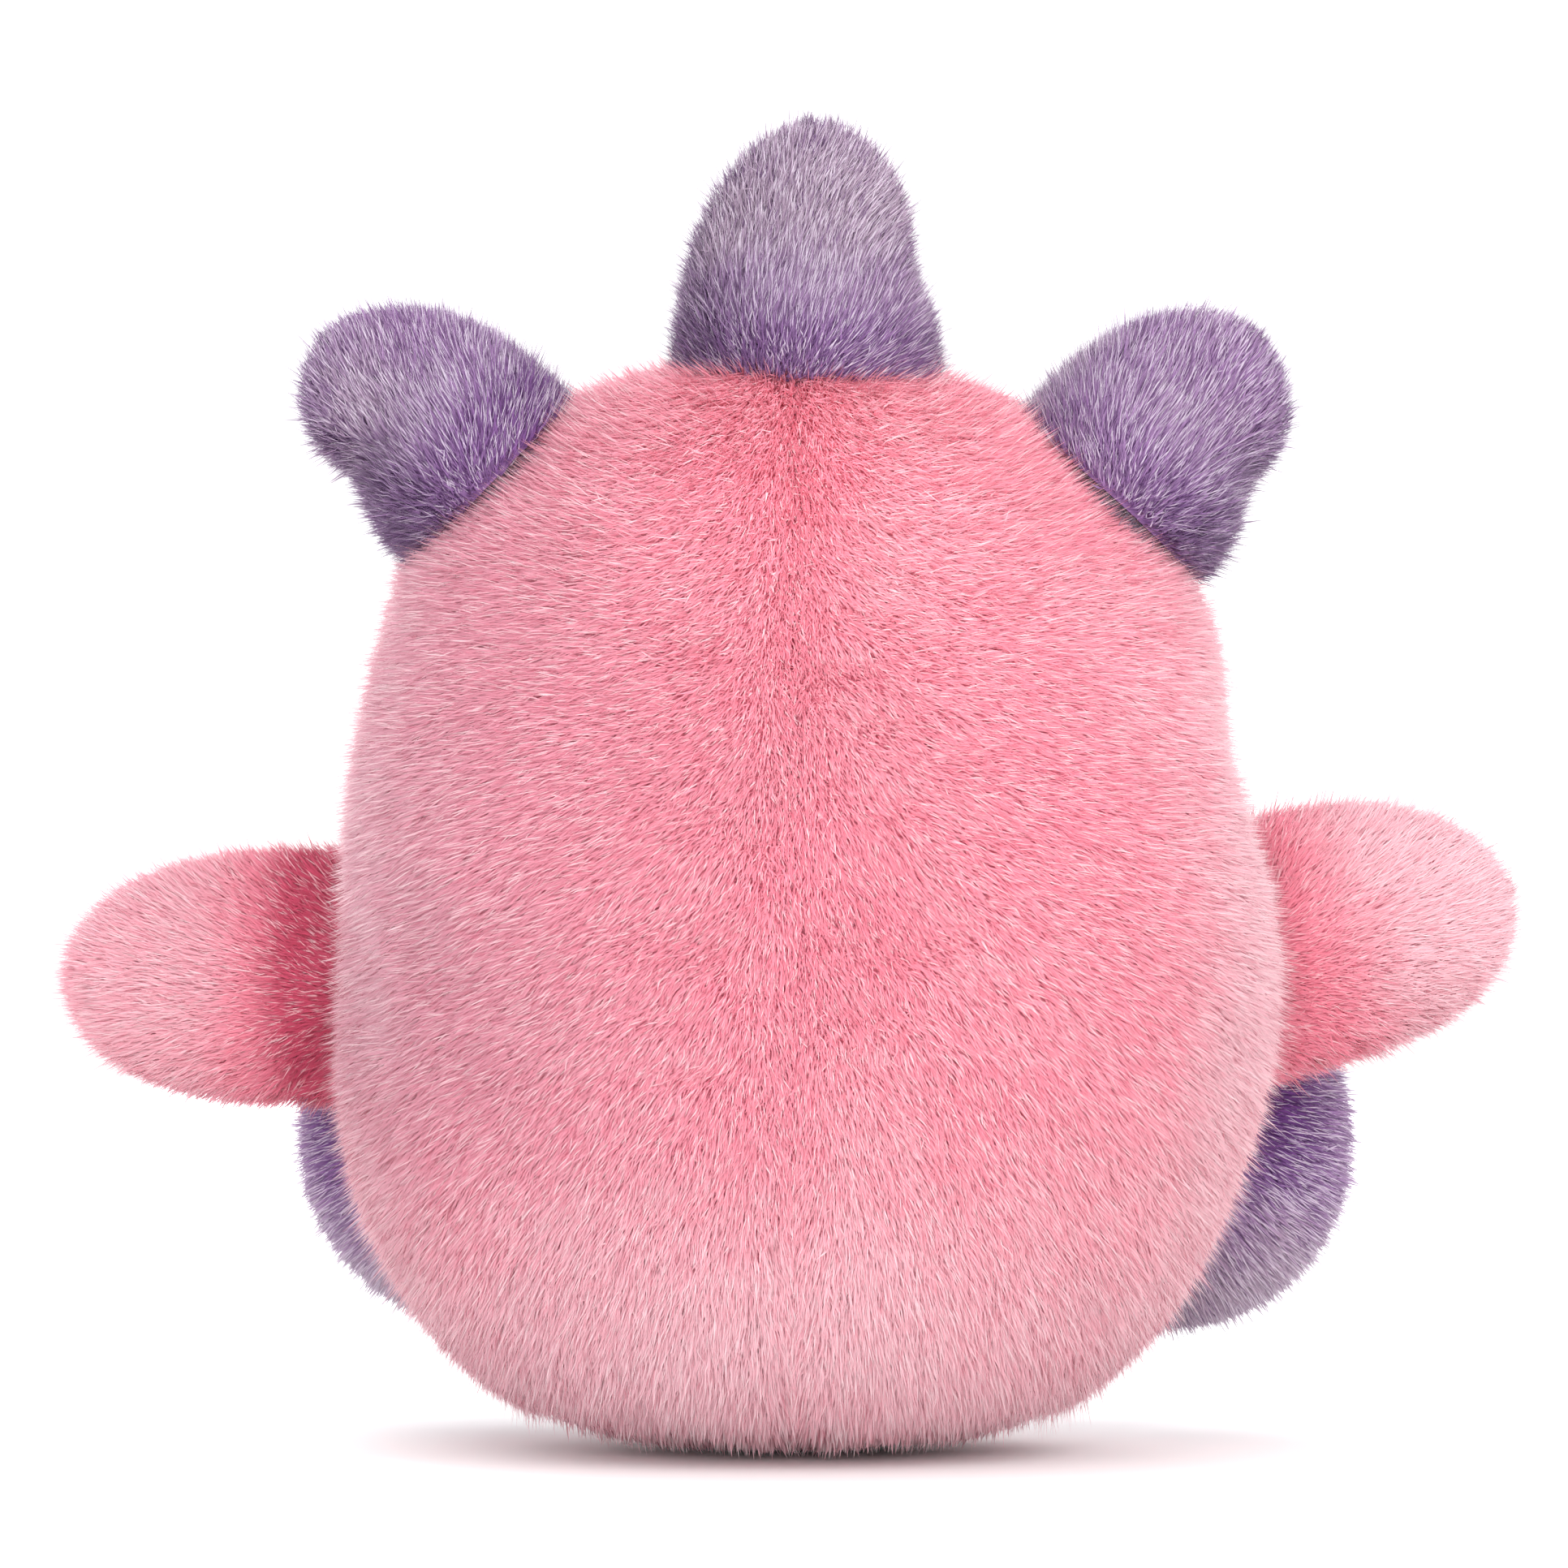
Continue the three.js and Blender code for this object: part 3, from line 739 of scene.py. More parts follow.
topPile = {
    "density": 23.0,      # fibres on a square millimetre
    "length": 2.9 * mm,
    "width": 0.095 * mm,
    "firstLean": 22,      # degrees from upright, in the lower half of a fibre
    "lastLean": 48,       # and in its upper half
    "clump": 2.2 * mm,
    "clumpShare": 0.30,
    "stray": 0.20,
    "roll": 0.5,
    "spread": 0.14,
    "guard": 0.15,        # share of guard fibres, which stand up out of the rest
    "guardLean": 0.5,     # how much a guard fibre leans, as a share of the rest
    "guardLength": 1.25,  # and how long it is
    "softness": 0.8,      # how far shading follows the skin and not the single fibre
}

underPile = dict(topPile, density=9.0, length=2.5 * mm, width=0.2 * mm, stray=0.35, guard=0.0)
sparsePile = {
    "under": dict(underPile, density=6.0),
    "top": dict(topPile, density=11.0, width=0.13 * mm),
}
seatPile = {"seat": dict(topPile, density=9.0, length=2.0 * mm, width=0.22 * mm)}
pileLimits = {"fibres": 98000, "blocks": 64, "floor": 0.2 * mm}


def blended(values, row, column, rowPart, columnPart):
    # bilinear blend of a grid's values at places inside its cells
    shape = (-1,) + (1,) * (values.ndim - 2)
    a, b = rowPart.reshape(shape), columnPart.reshape(shape)
    lower = values[row, column] * (1 - b) + values[row, column + 1] * b
    upper = values[row + 1, column] * (1 - b) + values[row + 1, column + 1] * b
    return lower * (1 - a) + upper * a


def growPile(name, patch, material, cut, seed, hidden):
    # Fibres rooted evenly over a patch. Each is a bent leaf of two triangles: its root, its two sides
    # halfway up, and its tip. The lower half leans a little along the nap, the upper half more. Guard
    # fibres are longer, stand up more and are the paler ones, and many of them carry the painted glints.
    random = np.random.default_rng(seed)
    points = patch["points"]
    area = cellAreas(points)
    weights = area.ravel().cumsum()
    count = int(weights[-1] / (mm * mm) * cut["density"])
    picks = (np.arange(count) + random.random(count)) / count * weights[-1]
    cells = np.minimum(np.searchsorted(weights, picks), area.size - 1)
    row, column = np.divmod(cells, area.shape[1])
    rowPart, columnPart = random.random(count), random.random(count)
    root = blended(points, row, column, rowPart, columnPart)
    keep = np.ones(count, bool)
    for test in hidden:
        keep &= ~test(root)
    row, column, rowPart, columnPart, root = (part[keep] for part in (row, column, rowPart, columnPart, root))
    count = len(root)
    keys = ("normals", "nap", "length", "lay", "grey", "lean")
    place = (row, column, rowPart, columnPart)
    normal, nap, length, lay, grey, lean = (blended(patch[key], *place) for key in keys)
    normal = unit(normal)
    clump = noiseVector(root, cut["clump"], seed) * cut["clumpShare"]
    nap = unit(nap + clump + random.normal(0, cut["stray"], (count, 3)))
    nap = unit(nap - normal * (nap * normal).sum(-1, keepdims=True))
    angles = np.radians(np.array([[cut["firstLean"], cut["lastLean"]]])) * lean[:, None]
    angles = angles + random.normal(0, 0.13, (count, 1))
    angles = angles + smoothNoise(root, 9 * mm, seed + 3)[:, None] * 0.14
    guard = (random.random(count) < cut["guard"])[:, None]
    angles = np.where(guard, angles * cut["guardLean"], angles)
    span = cut["length"] * length * np.clip(random.normal(1, cut["spread"], count), 0.45, 1.5)
    span = np.where(guard[:, 0], cut["guardLength"], 1.0) * span
    first = normal * np.cos(angles[:, :1]) + nap * np.sin(angles[:, :1])
    last = normal * np.cos(angles[:, 1:]) + nap * np.sin(angles[:, 1:])
    middle = root + first * (0.5 * span)[:, None]
    tip = middle + last * (0.5 * span)[:, None]
    side = unit(np.cross(last, normal))
    roll = random.normal(0, cut["roll"], (count, 1))
    side = side * np.cos(roll) + np.cross(last, side) * np.sin(roll)
    flat = unit(np.cross(side, last))
    facing = np.where((flat * normal).sum(-1, keepdims=True) < 0, -1.0, 1.0)
    flat, side = flat * facing, side * facing
    halfSide = side * (cut["width"] / 2 * random.uniform(0.75, 1.25, (count, 1)))
    leaves = np.stack([root - normal * 0.15 * mm, middle - halfSide, middle + halfSide, tip], axis=1)
    leaves[..., 2] = np.maximum(leaves[..., 2], pileLimits["floor"])
    faces = (np.arange(count)[:, None] * 4 + np.array([[0, 2, 1, 1, 2, 3]])).reshape(-1, 3)
    piece = newPiece(name, leaves.reshape(-1, 3), faces, material)
    shading = unit(normal * cut["softness"] + flat * (1 - cut["softness"]))
    piece.data.normals_split_custom_set_from_vertices(np.repeat(shading, 4, axis=0))
    tone = random.random(count)
    tone = np.where(guard[:, 0], 0.82 + 0.18 * tone, tone)
    values = {"along": np.tile([0.0, 0.55, 0.55, 1.0], count), "tone": np.repeat(tone, 4),
              "lay": np.repeat(lay, 4), "grey": np.repeat(grey, 4)}
    for key, value in values.items():
        piece.data.attributes.new(key, "FLOAT", "POINT").data.foreach_set("value", value.astype(np.float32))
    places = ((column + columnPart) / area.shape[1], (row + rowPart) / area.shape[0])
    mapPile(piece.data, places, tone, faces)
    return piece


def mapPile(mesh, places, tone, faces):
    # Fibres in one small square of the fabric share a square of the map. In it they are
    # sorted into eight columns by tone, and run from root to tip up their column.
    blocks = pileLimits["blocks"]
    squareU, squareV = (np.floor(place * blocks) for place in places)
    toneColumn = np.floor(tone * 8)
    low = (squareU + (toneColumn + 0.08) / 8) / blocks
    high = (squareU + (toneColumn + 0.92) / 8) / blocks
    across = np.stack([low, low, high, high], axis=1)
    upwards = (squareV[:, None] + np.array([[0.08, 0.5, 0.5, 0.92]])) / blocks
    corners = np.stack([across, upwards], axis=-1).reshape(-1, 2)[faces.ravel()]
    layer = mesh.uv_layers.new(name="OFBake")
    layer.uv.foreach_set("vector", corners.astype(np.float32).ravel())


def cellAreas(points):
    # area of each grid cell: half the cross product of its diagonals
    rise = points[1:, 1:] - points[:-1, :-1]
    fall = points[1:, :-1] - points[:-1, 1:]
    return np.linalg.norm(np.cross(rise, fall), axis=-1) / 2


def coverWithPile(name, patch, material, layers, seed, hidden):
    # each layer in bands of rows, so that no band has more fibres than the limit
    pieces = []
    rowAreas = cellAreas(patch["points"]).sum(axis=1).cumsum()
    for label, cut in layers.items():
        fibres = rowAreas[-1] / (mm * mm) * cut["density"]
        bands = int(np.ceil(fibres / pileLimits["fibres"]))
        edges = [0, *(int(np.searchsorted(rowAreas, rowAreas[-1] * k / bands)) + 1 for k in range(1, bands)),
                 len(rowAreas)]
        for number, (low, high) in enumerate(zip(edges[:-1], edges[1:])):
            strip = {key: value[low:high + 1] for key, value in patch.items()}
            title = f"{name}_{label}_pile" if bands == 1 else f"{name}_{label}_pile_{number + 1}"
            pieces.append(growPile(title, strip, material, cut, seed + 7 * number, hidden))
        seed += 1
    return pieces


def coverPanel(name, node, form, span, look, hidden, attach):
    # one fabric panel: its knitted skin, which stands for the plain panel, and the pile that grows from it
    patch = patchOf(form, *span)
    skin = skinPiece(f"{name}_skin", patch, look["backing"])
    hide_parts(node)
    seed = sum(ord(letter) * (place + 1) for place, letter in enumerate(name))
    for piece in (skin, *coverWithPile(name, patch, look["fibre"], look["layers"], seed, hidden)):
        attach(piece)


def rideTorso(piece):
    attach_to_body(piece, "torso")


def bendWith(limb, shape):
    # works out where a bend along the limb would start and end, but only bakes the piece's placement into its
    # mesh: it is attached to no body and does not bend
    start = tuple(limb["origin"] - limb["outward"] * shape["bendInside"])
    end = tuple(limb["origin"] + limb["outward"] * shape["bendOutside"])
    return lambda piece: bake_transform(piece)


pink = {
    "backing": backingMaterial("pinkGround", pinkPile["middle"]),
    "fibre": pileMaterial("pinkPile", pinkPile),
    "slot": "pink_pile",
    "fill": 0.9,
    "layers": {"under": underPile, "top": topPile},
}
lilac = dict(pink, backing=backingMaterial("lilacGround", lilacPile["middle"]),
             fibre=pileMaterial("lilacPile", lilacPile), slot="lilac_pile")
pale = dict(pink, backing=backingMaterial("paleGround", palePile["root"]),
            fibre=pileMaterial("palePile", palePile), slot="pale_pink_pile")

# stuffing pressure

clothLook = {
    "pressure": 4.0,
    "frames": 20,
    "slack": -0.015,      # below zero: the fabric is cut this much larger than the form
    "stiffness": 15.0,
    "most": 0.7 * mm,     # no point moves further than this
}


def pressOut(form, seams, step=2):
    # The stuffing pushes the fabric out as cloth, held at its seams. Only the unevenness is kept: the
    # mean swelling is taken off again, so that the size stays and the seams sink between full panels.
    coarse = form["points"][::step, ::step]
    held = seams[::step, ::step].ravel()
    flat = coarse.reshape(-1, 3)
    same = np.round(flat * 1e8).astype(np.int64)
    _, first, index = np.unique(same, axis=0, return_index=True, return_inverse=True)
    piece = gridPiece("pressing", [coarse], pink["backing"])
    group = piece.vertex_groups.new(name="seams")
    group.add([int(place) for place in np.nonzero(held[first])[0]], 1.0, "REPLACE")
    cloth = piece.modifiers.new("Pressure", "CLOTH")
    cloth.settings.use_pressure = True
    cloth.settings.uniform_pressure_force = clothLook["pressure"]
    cloth.settings.shrink_min = clothLook["slack"]
    cloth.settings.tension_stiffness = clothLook["stiffness"]
    cloth.settings.compression_stiffness = clothLook["stiffness"]
    cloth.settings.vertex_group_mass = "seams"
    cloth.settings.effector_weights.gravity = 0
    cloth.point_cache.frame_start, cloth.point_cache.frame_end = 1, clothLook["frames"]
    for frameNumber in range(1, clothLook["frames"] + 1):
        scene.frame_set(frameNumber)
    settled = piece.evaluated_get(bpy.context.evaluated_depsgraph_get()).to_mesh()
    moved = np.empty(len(settled.vertices) * 3, np.float32)
    settled.vertices.foreach_get("co", moved)
    moved = moved.reshape(-1, 3)[index.ravel()].reshape(coarse.shape) - coarse
    mesh = piece.data
    bpy.data.objects.remove(piece)
    bpy.data.meshes.remove(mesh)
    scene.frame_set(1)
    moved = np.nan_to_num(moved)
    length = np.linalg.norm(moved, axis=-1, keepdims=True)
    moved = moved / np.maximum(length, 1e-12) * clothLook["most"] * np.tanh(length / clothLook["most"])
    normals = form["normals"][::step, ::step]
    swelling = (moved * normals).sum(-1, keepdims=True)
    moved = moved - normals * swelling.mean()
    print("stuffing moved the fabric, mm:", round(float(np.abs(swelling - swelling.mean()).max()) / mm, 2))
    rows, columns = form["points"].shape[:2]
    row, column = np.meshgrid(np.arange(rows), np.arange(columns), indexing="ij")
    lowRow = np.minimum(row.ravel() // step, coarse.shape[0] - 2)
    lowColumn = np.minimum(column.ravel() // step, coarse.shape[1] - 2)
    parts = (row.ravel() / step - lowRow, column.ravel() / step - lowColumn)
    form["points"] = form["points"] + blended(moved, lowRow, lowColumn, *parts).reshape(form["points"].shape)
    form["normals"] = formNormals(form["points"])


def seamColumns(form, columns, rows=()):
    # the grid points along the sewn seams
    held = np.zeros(form["points"].shape[:2], bool)
    held[:, list(columns)] = True
    for row in rows:
        held[row] = True
    return held


def pressAll():
    # body seams run up its back, front and sides; limb seams round their edges; a foot's round its sole
    quarter = bodyShape["columns"] // 4
    pressOut(body, seamColumns(body, range(0, bodyShape["columns"] + 1, quarter), [seatRow // 2 * 2]))
    body["points"][..., 2] = np.maximum(body["points"][..., 2], 1.0 * mm)
    for name, form in forms.items():
        if name.startswith("foot"):
            pressOut(form, seamColumns(form, [], [0, soleRow() // 2 * 2]))
        else:
            half = paddleShape["columns"] // 2
            pressOut(form, seamColumns(form, [0, half, 2 * half], [0, 2]))


# body

seatRow = int(np.searchsorted(body["points"][:, 0, 0], 24 * mm))
quarter = bodyShape["columns"] // 4
pressAll()
panels = {
    "back_panel_left": (0, quarter),
    "back_panel_right": (quarter, 2 * quarter),
    "front_panel_right": (2 * quarter, 3 * quarter),
    "front_panel_left": (3 * quarter, 4 * quarter),
}


def limbTest(form, margin):
    inside = insideFoot if form["limb"]["name"].startswith("foot") else insidePaddle
    return lambda points: inside(form["limb"], points, margin)


def coverBody():
    # no pile where a limb is sewn on; the feet bend most, so they are cleared further out
    margins = {name: 0.8 * mm if name.startswith("foot") else -1.8 * mm for name in forms}
    hidden = [limbTest(form, margins[name]) for name, form in forms.items()]
    hidden += [insideMuzzle, *eyeTests()]
    for node, columns in panels.items():
        look = pink if node.startswith("back") else dict(pink, layers=sparsePile)
        span = ((seatRow, bodyShape["rows"]), columns)
        coverPanel(node.replace("_panel", ""), node, body, span, look, hidden, rideTorso)
    span = ((0, seatRow), (0, bodyShape["columns"]))
    coverPanel("seat", "seat_panel", body, span, dict(pink, layers=seatPile), [], rideTorso)


def insideTorso(points):
    return insideBody(points, -1.9 * mm)


# face

faceLook = {
    "eyeClear": 4.2 * mm,       # no pile roots closer than this to an eye's middle
    "muzzleDepth": 1.0 * mm,
    "muzzleRows": 48,
    "muzzleColumns": 56,
    "muzzleStart": 0.1,         # the cover starts at this share of its rows, inside the body
    "muzzlePile": {
        "under": dict(underPile, density=10.0, length=1.5 * mm, width=0.2 * mm),
        "top": dict(topPile, density=24.0, length=1.9 * mm, firstLean=28, lastLean=60),
    },
}

eyes = {}
for node in ("eye_left", "eye_right"):
    low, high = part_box(node)
    eyes[node] = np.array([(low.x + high.x) / 2, low.y, (low.z + high.z) / 2])

muzzleLow, muzzleHigh = (np.array(corner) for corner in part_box("muzzle_cover"))
muzzleMiddle = (muzzleLow + muzzleHigh) / 2
muzzleHalf = (muzzleHigh - muzzleLow) / 2


def eyeTests():
    def near(eye):
        def test(points):
            distance = np.hypot(points[:, 0] - eye[0], points[:, 2] - eye[2])
            return (distance < faceLook["eyeClear"]) & (points[:, 1] < 0)
        return test
    return [near(eye) for eye in eyes.values()]


def insideMuzzle(points):
    return (((points - muzzleMiddle) / (muzzleHalf - 1.5 * mm)) ** 2).sum(axis=-1) < 1


def muzzleForm():
    # an egg-shaped pad whose rings run from its hidden back to its front
    rows, columns = faceLook["muzzleRows"], faceLook["muzzleColumns"]
    v = np.linspace(0, np.pi, rows + 1)[:, None]
    turn = np.linspace(0, 2 * np.pi, columns + 1)[None, :]
    half = muzzleHalf - faceLook["muzzleDepth"]
    x = half[0] * np.sin(v) * np.cos(turn)
    z = half[2] * np.sin(v) * np.sin(turn)
    y = half[1] * np.cos(v) * np.ones(x.shape)
    form = makeForm(muzzleMiddle + np.stack([x, y, z], axis=-1))
    away = np.stack([x * 0.5, np.full(x.shape, 2 * mm), z - 6 * mm], axis=-1)
    lying = away - form["normals"] * (away * form["normals"]).sum(-1, keepdims=True)
    form["nap"] = unit(lying)
    points = form["points"]
    for node in ("nostril_left", "nostril_right"):
        low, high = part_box(node)
        middle = np.array([(low.x + high.x) / 2, (low.z + high.z) / 2])
        distance = np.hypot(points[..., 0] - middle[0], points[..., 2] - middle[1])
        form["length"] *= 1 - 0.5 * fade(distance, 3.6 * mm, 1.8 * mm)
    return form


def nostrilTests():
    def near(node):
        low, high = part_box(node)
        return lambda points: ((points[:, 0] - (low.x + high.x) / 2) / (high.x - low.x)) ** 2 \
            + ((points[:, 2] - (low.z + high.z) / 2) / (high.z - low.z)) ** 2 < 0.30
    return [near(node) for node in ("nostril_left", "nostril_right")]


def nearMouth(points):
    # within half a thread of the mouth line: a shallow arc across the muzzle
    low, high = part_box("mouth_thread")
    x = np.clip(points[:, 0] / high.x, -1, 1)
    line = low.z + 0.5 * mm + (high.z - low.z - 1.1 * mm) * x * x
    return (np.abs(points[:, 2] - line) < 0.55 * mm) & (np.abs(points[:, 0]) < high.x + 0.3 * mm)


eyeLook = {"dome": 3.2 * mm, "rim": 0.55 * mm, "shank": 1.3 * mm, "rib": 0.22 * mm, "ribs": 7}


def plasticMaterial(name, colour, roughness, coat):
    # moulded plastic: a faint cloudiness in the colour and a faint unevenness in the polish
    material, tree, shader = newMaterial(name, {"Coat Weight": coat, "Coat Roughness": 0.04})
    place = Wire.add(tree, "ShaderNodeTexCoord", output="Object")
    cloudy = noiseOf(tree, place, 220.0, 2.0)
    fine = noiseOf(tree, place, 1400.0, 2.0)
    lighter = tuple(min(1, channel * 1.5 + 0.004) for channel in colour)
    feed(tree, mixColour(tree, cloudy, colour, lighter), shader, "Base Color")
    feed(tree, roughness + fine * 0.07, shader, "Roughness")
    return material


def threadMaterial(name, colour):
    # dyed thread: fine fibres, lighter and darker in fine and broad patches
    material, tree, shader = newMaterial(name, {"Roughness": 0.6, "Sheen Weight": 0.15})
    place = Wire.add(tree, "ShaderNodeTexCoord", output="Object")
    fine = noiseOf(tree, place, 4200.0, 3.0)
    broad = noiseOf(tree, place, 600.0, 2.0)
    dark = tuple(0.55 * channel for channel in colour)
    feed(tree, mixColour(tree, fine * 0.7 + broad * 0.3, dark, colour), shader, "Base Color")
    bump = Wire.add(tree, "ShaderNodeBump", {}, {"Strength": 0.5, "Distance": 0.0001, "Height": fine})
    feed(tree, bump, shader, "Normal")
    return material


def makeEyes():
    # a lathe-turned eye: polished dome, rolled rim, flat back and a ribbed shank through the fabric
    material = plasticMaterial("eyePlastic", (0.006, 0.006, 0.007), 0.06, 0.15)
    for node in eyes:
        low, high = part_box(node)
        radius, front, back = (high.x - low.x) / 2, low.y, high.y
        middle = np.array([(low.x + high.x) / 2, (low.z + high.z) / 2])
        turn = np.linspace(0, np.pi / 2, 22)
        depth = eyeLook["dome"]
        dome = np.stack([(radius - 0.25 * mm) * np.sin(turn), depth * (1 - np.cos(turn))], axis=1)
        swing = np.linspace(-0.4 * np.pi, 0.5 * np.pi, 8)
        rim = np.stack([radius - eyeLook["rim"] / 2 + eyeLook["rim"] / 2 * np.cos(swing),
                        depth + eyeLook["rim"] / 2 * (1 + np.sin(swing))], axis=1)
        along = np.linspace(depth + eyeLook["rim"], back - front, 50)
        waves = np.cos(np.linspace(0, 2 * np.pi * eyeLook["ribs"], 50))
        ribbed = eyeLook["shank"] - eyeLook["rib"] * (0.5 + 0.5 * waves)
        shank = np.stack([ribbed, along], axis=1)
        profile = np.concatenate([dome, rim, shank, [[0, back - front]]])
        turn = np.linspace(0, 2 * np.pi, 65)
        x = middle[0] + profile[:, :1] * np.cos(turn)
        z = middle[1] + profile[:, :1] * np.sin(turn)
        y = front + profile[:, 1:] * np.ones(turn.shape)
        grid = np.stack([x, y, z], axis=-1)[::-1]
        piece = gridPiece(f"{node}_bead", [grid], material)
        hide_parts(node)
        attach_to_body(piece, "torso")


def onMuzzle(x, z, proud):
    # the front of the muzzle at a place seen from the front, raised a little
    share = 1 - ((x - muzzleMiddle[0]) / muzzleHalf[0]) ** 2 - ((z - muzzleMiddle[2]) / muzzleHalf[2]) ** 2
    return muzzleMiddle[1] - muzzleHalf[1] * np.sqrt(np.maximum(share, 0)) - proud


def makeThreads():
    dark = threadMaterial("darkThread", (0.055, 0.02, 0.045))
    pinkThread = threadMaterial("pinkThread", (0.85, 0.20, 0.28))
    low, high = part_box("mouth_thread")
    x = np.linspace(-high.x, high.x, 60)
    z = low.z + 0.5 * mm + (high.z - low.z - 1.1 * mm) * (x / high.x) ** 2
    mouth = twistedThread(np.stack([x, onMuzzle(x, z, 0.15 * mm), z], axis=1), 0.5 * mm, 1.9 * mm)
    finish("mouth_stitches", mouth, dark, "mouth_thread")
    for node in ("nostril_left", "nostril_right"):
        low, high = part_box(node)
        middle = np.array([(low.x + high.x) / 2, (low.z + high.z) / 2])
        halfWidth, halfHeight = (high.x - low.x) / 2, (high.z - low.z) / 2
        stitches = []
        for side in np.linspace(-0.86, 0.86, 8):
            half = halfHeight * np.sqrt(1 - side * side)
            reach = np.linspace(-1, 1, 16)
            x = np.full(16, middle[0] + side * halfWidth)
            z = middle[1] + reach * half
            proud = 0.55 * mm * np.sqrt(1 - 0.75 * side * side) * (1 - reach ** 4) - 0.1 * mm
            stitches.append(ringsAlong(np.stack([x, onMuzzle(x, z, proud), z], axis=1), 0.24 * mm, 8))
        finish(f"{node}_stitches", stitches, dark, node)
    low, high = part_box("closing_thread")
    z = np.linspace(low.z, high.z, 240)
    wave = (z - low.z) / (high.z - low.z) * 8
    x = (high.x - 0.35 * mm) * (2 * np.abs(wave % 2 - 1) - 1)
    y = np.interp(z, body["points"][:, quarter, 2], body["points"][:, quarter, 1]) + 0.25 * mm
    lacing = twistedThread(np.stack([x, y, z], axis=1), 0.32 * mm, 1.3 * mm)
    finish("closing_lacing", lacing, pinkThread, "closing_thread")


def finish(name, grids, material, node):
    piece = gridPiece(name, grids, material)
    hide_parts(node)
    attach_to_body(piece, "torso")


def fibreMaterial():
    # loose polyester: soft white clouds crossed by fine fibres
    material, tree, shader = newMaterial("looseFibre", {"Roughness": 0.85, "Sheen Weight": 0.4})
    place = Wire.add(tree, "ShaderNodeTexCoord", output="Object")
    clouds = noiseOf(tree, place, 140.0, 4.0)
    strands = noiseOf(tree, place, 1900.0, 4.0, 0.7)
    colour = mixColour(tree, clouds * 0.5 + strands * 0.5, (0.62, 0.62, 0.64), (0.93, 0.93, 0.92))
    relief = {"Strength": 0.8, "Distance": 0.0012, "Height": clouds + strands * 0.4}
    bump = Wire.add(tree, "ShaderNodeBump", {}, relief)
    feed(tree, colour, shader, "Base Color")
    feed(tree, bump, shader, "Normal")
    return material


fillGap = 1.5 * mm        # from the fabric form to the filling inside it
looseFibre = fibreMaterial()


def fillForm(name, points, attach):
    # the filling of a limb or the muzzle, attached in the same way as its fabric
    piece = gridPiece(f"{name}_filling", [points[::2, ::2]], looseFibre)
    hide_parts(f"{name}_stuffing")
    attach(piece)


def fillPaddle(limb):
    # the limb's own form again, a little smaller all round
    smaller = dict(limb, sideDepth=limb["sideDepth"] + fillGap, pileDepth=limb["pileDepth"] + fillGap,
                   rootThick=limb["rootThick"] - fillGap, end=limb["end"] - fillGap)
    return paddleGrid(smaller)


def coverLimbs():
    half = paddleShape["columns"] // 2
    for name in limbLooks:
        form = forms[name]
        look = dict(lilac if name.startswith("spike") else pink, fill=0.85)
        attach = bendWith(form["limb"], paddleShape)
        for face, columns in {"back": (0, half), "front": (half, 2 * half)}.items():
            span = ((0, paddleShape["rows"]), columns)
            coverPanel(f"{name}_{face}", f"{name}_{face}_cover", form, span, look, [insideTorso], attach)
        fillForm(name, fillPaddle(form["limb"]), attach)


def coverMuzzle():
    muzzle = muzzleForm()
    rows, columns = faceLook["muzzleRows"], faceLook["muzzleColumns"]
    span = ((int(rows * faceLook["muzzleStart"]), rows), (0, columns))
    look = dict(pale, layers=faceLook["muzzlePile"])
    bare = [insideTorso, nearMouth, *nostrilTests()]
    coverPanel("muzzle", "muzzle_cover", muzzle, span, look, bare, rideTorso)
    fillForm("muzzle", muzzle["points"] - muzzle["normals"] * fillGap, rideTorso)


def coverFeet():
    rows, split = footShape["rows"], soleRow()
    for name in ("foot_left", "foot_right"):
        form = forms[name]
        look = dict(lilac, layers=sparsePile)
        attach = bendWith(form["limb"], footShape)
        for part, band in {"upper": (0, split), "sole": (split, rows)}.items():
            span = (band, (0, footShape["columns"]))
            coverPanel(f"{name}_{part}", f"{name}_{part}", form, span, look, [insideTorso], attach)
        fillForm(name, form["points"] - form["normals"] * fillGap, attach)


coverBody()
coverLimbs()
makeEyes()
makeThreads()
coverMuzzle()
coverFeet()
counts = [len(item.data.polygons) for item in scene.objects if "_pile" in item.name]
print("pile grown, triangles:", sum(counts), "largest:", max(counts))

# what is inside


def wovenMaterial():
    # plain weave: two sets of threads, over and under each other
    material, tree, shader = newMaterial("wovenPouch", {"Roughness": 0.8})
    place = Wire.add(tree, "ShaderNodeTexCoord", output="Object")
    threads = {"Vector": place, "Scale": 500.0}
    warp = Wire.add(tree, "ShaderNodeTexWave", {"bands_direction": "X"}, threads, "Fac")
    weft = Wire.add(tree, "ShaderNodeTexWave", {"bands_direction": "Y"}, threads, "Fac")
    weave = warp * 0.5 + weft * 0.5
    colour = mixColour(tree, weave, (0.50, 0.48, 0.44), (0.82, 0.80, 0.76))
    bump = Wire.add(tree, "ShaderNodeBump", {}, {"Strength": 0.6, "Distance": 0.0002, "Height": weave})
    feed(tree, colour, shader, "Base Color")
    feed(tree, bump, shader, "Normal")
    return material


